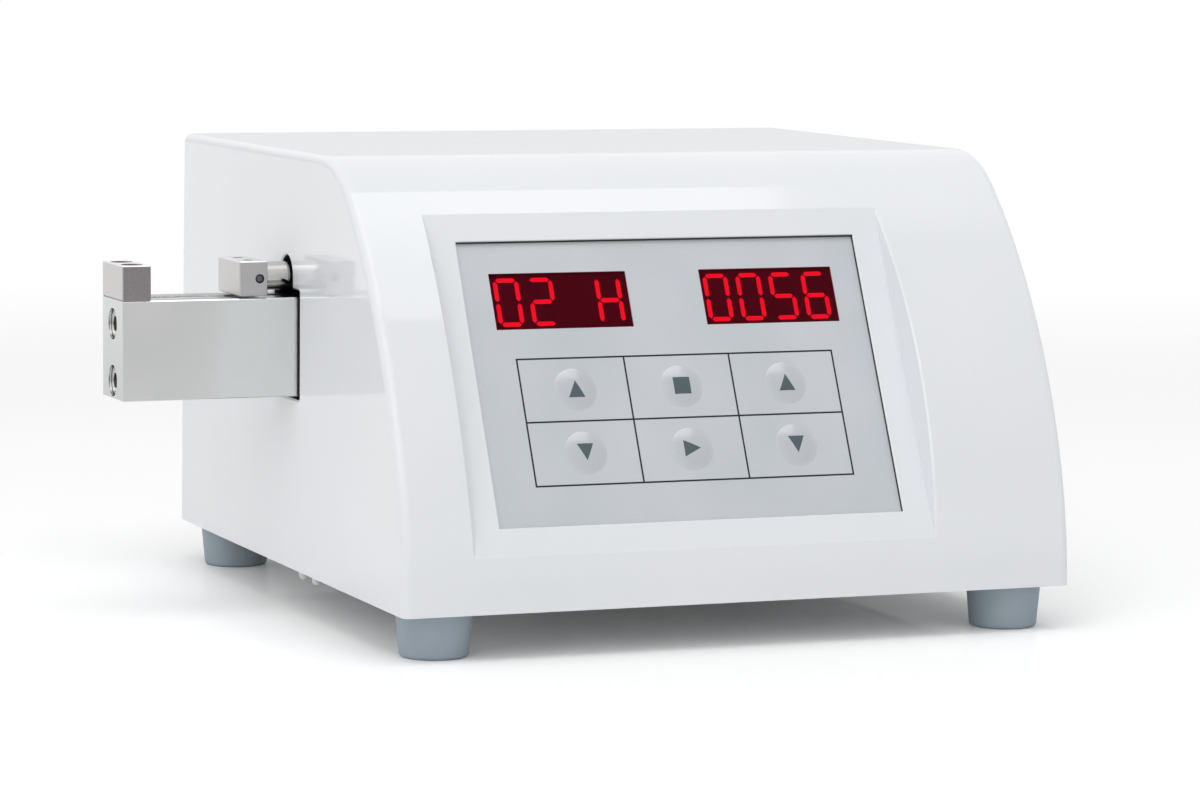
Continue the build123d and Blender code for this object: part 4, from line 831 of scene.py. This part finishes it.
def makePortFace():
    # two hexagon standoffs, the black insulator and its nine sockets
    middle, height, back = onBack("printer_port")
    flange = back - port["nose"]
    standoffs = bmesh.new()
    for side in (-1, 1):
        x = middle + side * port["spacing"] / 2
        ring = bmesh.ops.create_circle(
            standoffs, radius=port["nutFlats"] / math.sqrt(3), segments=6, cap_ends=True,
            matrix=Matrix.Translation((x, height, flange + port["nutLow"])))
        face = ring["verts"][0].link_faces[0]
        inner = bmesh.ops.inset_individual(standoffs, faces=[face], thickness=port["nutRim"])
        pullUp(standoffs, [face] + inner["faces"], port["nutRise"] - port["nutLow"])
        bmesh.ops.create_cone(standoffs, segments=24, cap_ends=True, radius1=port["boreRadius"],
                              radius2=port["boreRadius"], depth=port["boreDepth"],
                              matrix=Matrix.Translation((x, height, flange + port["nutRise"])))
    newPiece("portStandoffs", standoffs, zincPlate, "housing", place=backPlace)

    insulator = bmesh.new()
    wide, tall, lean = port["faceWidth"] / 2, port["faceHeight"] / 2, port["faceLean"]
    top = back + port["faceRise"]
    outline = rectangle(middle - wide, middle + wide, height - tall, height + tall)
    outline[0] = (middle - wide + lean, height - tall)
    outline[1] = (middle + wide - lean, height - tall)
    flatSlab(insulator, outline, back - port["faceSink"], top)
    newPiece("portInsulator", insulator, blackMoulding, "housing",
             place=backPlace)

    sockets = bmesh.new()
    profile = ringProfile(port["pinRadius"] * port["pinBore"], port["pinRadius"],
                          -port["pinSink"], port["pinRise"])
    for row, count in port["pinRows"]:
        for number in range(count):
            x = middle + (number - (count - 1) / 2) * port["pinPitch"]
            turned(sockets, profile, (x, height + row * port["rowPitch"], top), port["pinSteps"])
    newPiece("portSockets", sockets, brass, "housing", place=backPlace)


rocker = {"tilt": 10.0, "valley": 2.6 * mm, "markPlace": 6.2 * mm, "barWidth": 0.8 * mm,
          "barHeight": 4.2 * mm, "ringOuter": 2.3 * mm, "ringInner": 1.55 * mm,
          "ringSteps": 40, "paint": 0.04 * mm}


def makeRockerMarks():
    # a bar on the pressed half and a ring on the raised half
    tilt = math.radians(rocker["tilt"])
    valley = Vector((0, math.cos(tilt), math.sin(tilt))) * rocker["valley"]
    pivot = Matrix.Translation(Vector(joints["power_rocker_tilt"]["pos_m"]) + valley)
    low, high, away = -rocker["paint"] / 2, rocker["paint"], rocker["markPlace"]
    wide, tall = rocker["barWidth"] / 2, rocker["barHeight"] / 2
    bar = bmesh.new()
    flatSlab(bar, rectangle(-wide, wide, away - tall, away + tall), low, high)
    newPiece("rockerBar", bar, markPaint, "rocker", place=pivot @ backPlace)
    ring = bmesh.new()
    turned(ring, ringProfile(rocker["ringInner"], rocker["ringOuter"], low, high),
           (0, -away, 0), rocker["ringSteps"])
    newPiece("rockerRing", ring, markPaint, "rocker",
             place=pivot @ Matrix.Rotation(2 * tilt, 4, "X") @ backPlace)


makeInletScrews()
makePortFace()
makeRockerMarks()
print("back details ready")


# floor, light and camera

studio = {"floorSize": 14.0, "floorColour": "#F6F6F6", "fadeFrom": 0.55, "fadeTo": 1.5,
          "gloss": 0.07, "glossRoughness": 0.03, "lift": 0.035, "floorGain": 1.17,
          "mirrorNear": 0.6, "mirrorFloor": 1.14, "nearY": -0.7, "farY": 0.1,
          "mirrorHorizon": 0.8, "mirrorSky": 1.1, "skyFrom": 0.08, "skyTo": 0.35,
          "cardPlace": (0.384, -0.634, 0.671), "cardLevel": 0.3, "cardFrom": 0.82,
          "cardTo": 0.93, "worldLight": 0.74, "worldRight": 0.42}
white = (1, 1, 1, 1)


def seenRays(tree):
    # rays from the camera or through a clear pane see pure white, mirrored rays a paler grey
    path = addNode(tree, "LightPath")
    clear = addNode(tree, "Math", {"operation": "MAXIMUM"},
                    {0: path.outputs["Is Camera Ray"], 1: path.outputs["Is Transmission Ray"]})
    return clear.outputs["Value"], path.outputs["Is Glossy Ray"]


def makeFloor():
    # a polished white table that fades into the white background
    material = bpy.data.materials.new("whiteTableTop")
    tree = emptyTree(material)
    clear, mirrored = seenRays(tree)
    seen = addNode(tree, "Math", {"operation": "MAXIMUM"},
                   {0: clear, 1: mirrored}).outputs["Value"]
    place = addNode(tree, "TexCoord").outputs["Object"]
    # in reflections the floor is greyer, most of all in front of the object
    depth = addNode(tree, "MapRange", {
        "From Min": studio["nearY"], "From Max": studio["farY"],
        "To Min": studio["mirrorNear"], "To Max": studio["mirrorFloor"],
    }, {"Value": addNode(tree, "SeparateXYZ", links={"Vector": place}).outputs["Y"]})
    # over white where the camera sees it, so that only the shadow near the object is left
    gain = addNode(tree, "MapRange", {"To Min": 1.0, "To Max": studio["floorGain"]},
                   {"Value": clear})
    share = addNode(tree, "Mix", {"data_type": "FLOAT"},
                    {0: mirrored, 2: gain.outputs["Result"], 3: depth.outputs["Result"]})
    shade = addNode(tree, "VectorMath",
                    {"operation": "SCALE", 0: linear(studio["floorColour"])[:3]},
                    {"Scale": share.outputs[0]})
    matt = addNode(tree, "BsdfDiffuse", links={"Color": shade.outputs["Vector"]})
    gloss = addNode(tree, "BsdfGlossy",
                    {"Color": white, "Roughness": studio["glossRoughness"]})
    near = addNode(tree, "MixShader", {0: studio["gloss"]},
                   {1: matt.outputs["BSDF"], 2: gloss.outputs["BSDF"]})
    lift = addNode(tree, "Emission", {"Color": white}, {
        "Strength": addNode(tree, "Math", {"operation": "MULTIPLY", 1: studio["lift"]},
                            {0: seen}).outputs["Value"]})
    lifted = addNode(tree, "AddShader", links={0: near.outputs["Shader"],
                                               1: lift.outputs["Emission"]})
    distance = addNode(tree, "VectorMath", {"operation": "LENGTH"}, {0: place})
    fade = addNode(tree, "MapRange", {
        "interpolation_type": "SMOOTHSTEP",
        "From Min": studio["fadeFrom"], "From Max": studio["fadeTo"],
    }, {"Value": distance.outputs["Value"]})
    amount = addNode(tree, "Math", {"operation": "MULTIPLY"},
                     {0: fade.outputs["Result"], 1: seen})
    level = addNode(tree, "Mix", {"data_type": "FLOAT", 2: 1.0},
                    {0: mirrored, 3: depth.outputs["Result"]})
    far = addNode(tree, "Emission", {"Color": white}, {"Strength": level.outputs[0]})
    mixed = addNode(tree, "MixShader", links={0: amount.outputs["Value"],
                                              1: lifted.outputs["Shader"],
                                              2: far.outputs["Emission"]})
    addNode(tree, "OutputMaterial", links={"Surface": mixed.outputs["Shader"]})
    shape = bmesh.new()
    bmesh.ops.create_grid(shape, x_segments=1, y_segments=1, size=studio["floorSize"] / 2)
    floor = newObject("floor", shape, material)


def makeWorld():
    # white where it is seen, a plain even light on the object, and in reflections a pale room
    # with a grey card over the camera, so that the panel and the displays don't mirror white
    world = bpy.data.worlds.new("whiteStudio")
    bpy.context.scene.world = world
    tree = emptyTree(world)
    clear, mirrored = seenRays(tree)
    way = addNode(tree, "TexCoord").outputs["Generated"]
    parts = addNode(tree, "SeparateXYZ", links={"Vector": way})
    light = addNode(tree, "MapRange", {"To Min": studio["worldLight"],
                                       "To Max": studio["worldRight"]},
                    {"Value": parts.outputs["X"]})
    plain = addNode(tree, "MapRange",
                    links={"Value": clear, "To Min": light.outputs["Result"]})
    rise = addNode(tree, "MapRange", {
        "interpolation_type": "SMOOTHSTEP", "From Min": studio["skyFrom"],
        "From Max": studio["skyTo"], "To Min": studio["mirrorHorizon"],
        "To Max": studio["mirrorSky"],
    }, {"Value": parts.outputs["Z"]})
    towards = addNode(tree, "VectorMath",
                      {"operation": "DOT_PRODUCT", 1: studio["cardPlace"]}, {0: way})
    card = addNode(tree, "MapRange", {
        "interpolation_type": "SMOOTHSTEP", "From Min": studio["cardFrom"],
        "From Max": studio["cardTo"], "To Min": 1.0, "To Max": studio["cardLevel"],
    }, {"Value": towards.outputs["Value"]})
    room = addNode(tree, "Math", {"operation": "MULTIPLY"},
                   {0: rise.outputs["Result"], 1: card.outputs["Result"]})
    strength = addNode(tree, "Mix", {"data_type": "FLOAT"},
                       {0: mirrored, 2: plain.outputs["Result"], 3: room.outputs["Value"]})
    sky = addNode(tree, "Background", {"Color": white},
                  {"Strength": strength.outputs[0]})
    addNode(tree, "OutputWorld", links={"Surface": sky.outputs["Background"]})


softboxes = {
    "topSoftbox": {"place": (-0.02, -0.46, 1.6), "size": (1.5, 0.9), "power": 7.3},
    "frontSoftbox": {"place": (-1.3, -1.2, 1.2), "size": (1.2, 1.2), "power": 4.6},
}
softboxTarget = Vector((0, 0, 0.1))


def addSoftbox(name, box):
    lamp = bpy.data.lights.new(name, "AREA")
    lamp.shape = "RECTANGLE"
    lamp.size, lamp.size_y = box["size"]
    lamp.energy = box["power"]
    holder = bpy.data.objects.new(name, lamp)
    holder.location = box["place"]
    aim = softboxTarget - Vector(box["place"])
    holder.rotation_euler = aim.to_track_quat("-Z", "Y").to_euler()
    bpy.context.scene.collection.objects.link(holder)


view = {"place": (-0.55521, -1.49492, 0.23982), "yaw": 21.35, "pitch": 6.04, "roll": 0.46,
        "lens": 134.88, "sensor": 36.0, "clipEnd": 100}


def makeCamera():
    # solved from the photograph for its own frame of 1200 by 800
    yaw, pitch, roll = (math.radians(view[key]) for key in ("yaw", "pitch", "roll"))
    ahead = Vector((math.sin(yaw) * math.cos(pitch), math.cos(yaw) * math.cos(pitch),
                    -math.sin(pitch)))
    right = Vector((math.cos(yaw), -math.sin(yaw), 0))
    up = right.cross(ahead)
    across = right * math.cos(roll) + up * math.sin(roll)
    upright = up * math.cos(roll) - right * math.sin(roll)
    lens = bpy.data.cameras.new("photoCamera")
    lens.lens = view["lens"]
    lens.sensor_width = view["sensor"]
    lens.sensor_fit = "HORIZONTAL"
    lens.clip_end = view["clipEnd"]
    camera = bpy.data.objects.new("photoCamera", lens)
    camera.matrix_world = (Matrix.Translation(view["place"])
                           @ Matrix((across, upright, -ahead)).transposed().to_4x4())
    bpy.context.scene.collection.objects.link(camera)
    bpy.context.scene.camera = camera


bpy.context.scene.view_settings.view_transform = "Standard"
makeFloor()
makeWorld()
for name, box in softboxes.items():
    addSoftbox(name, box)
makeCamera()
print("studio ready")
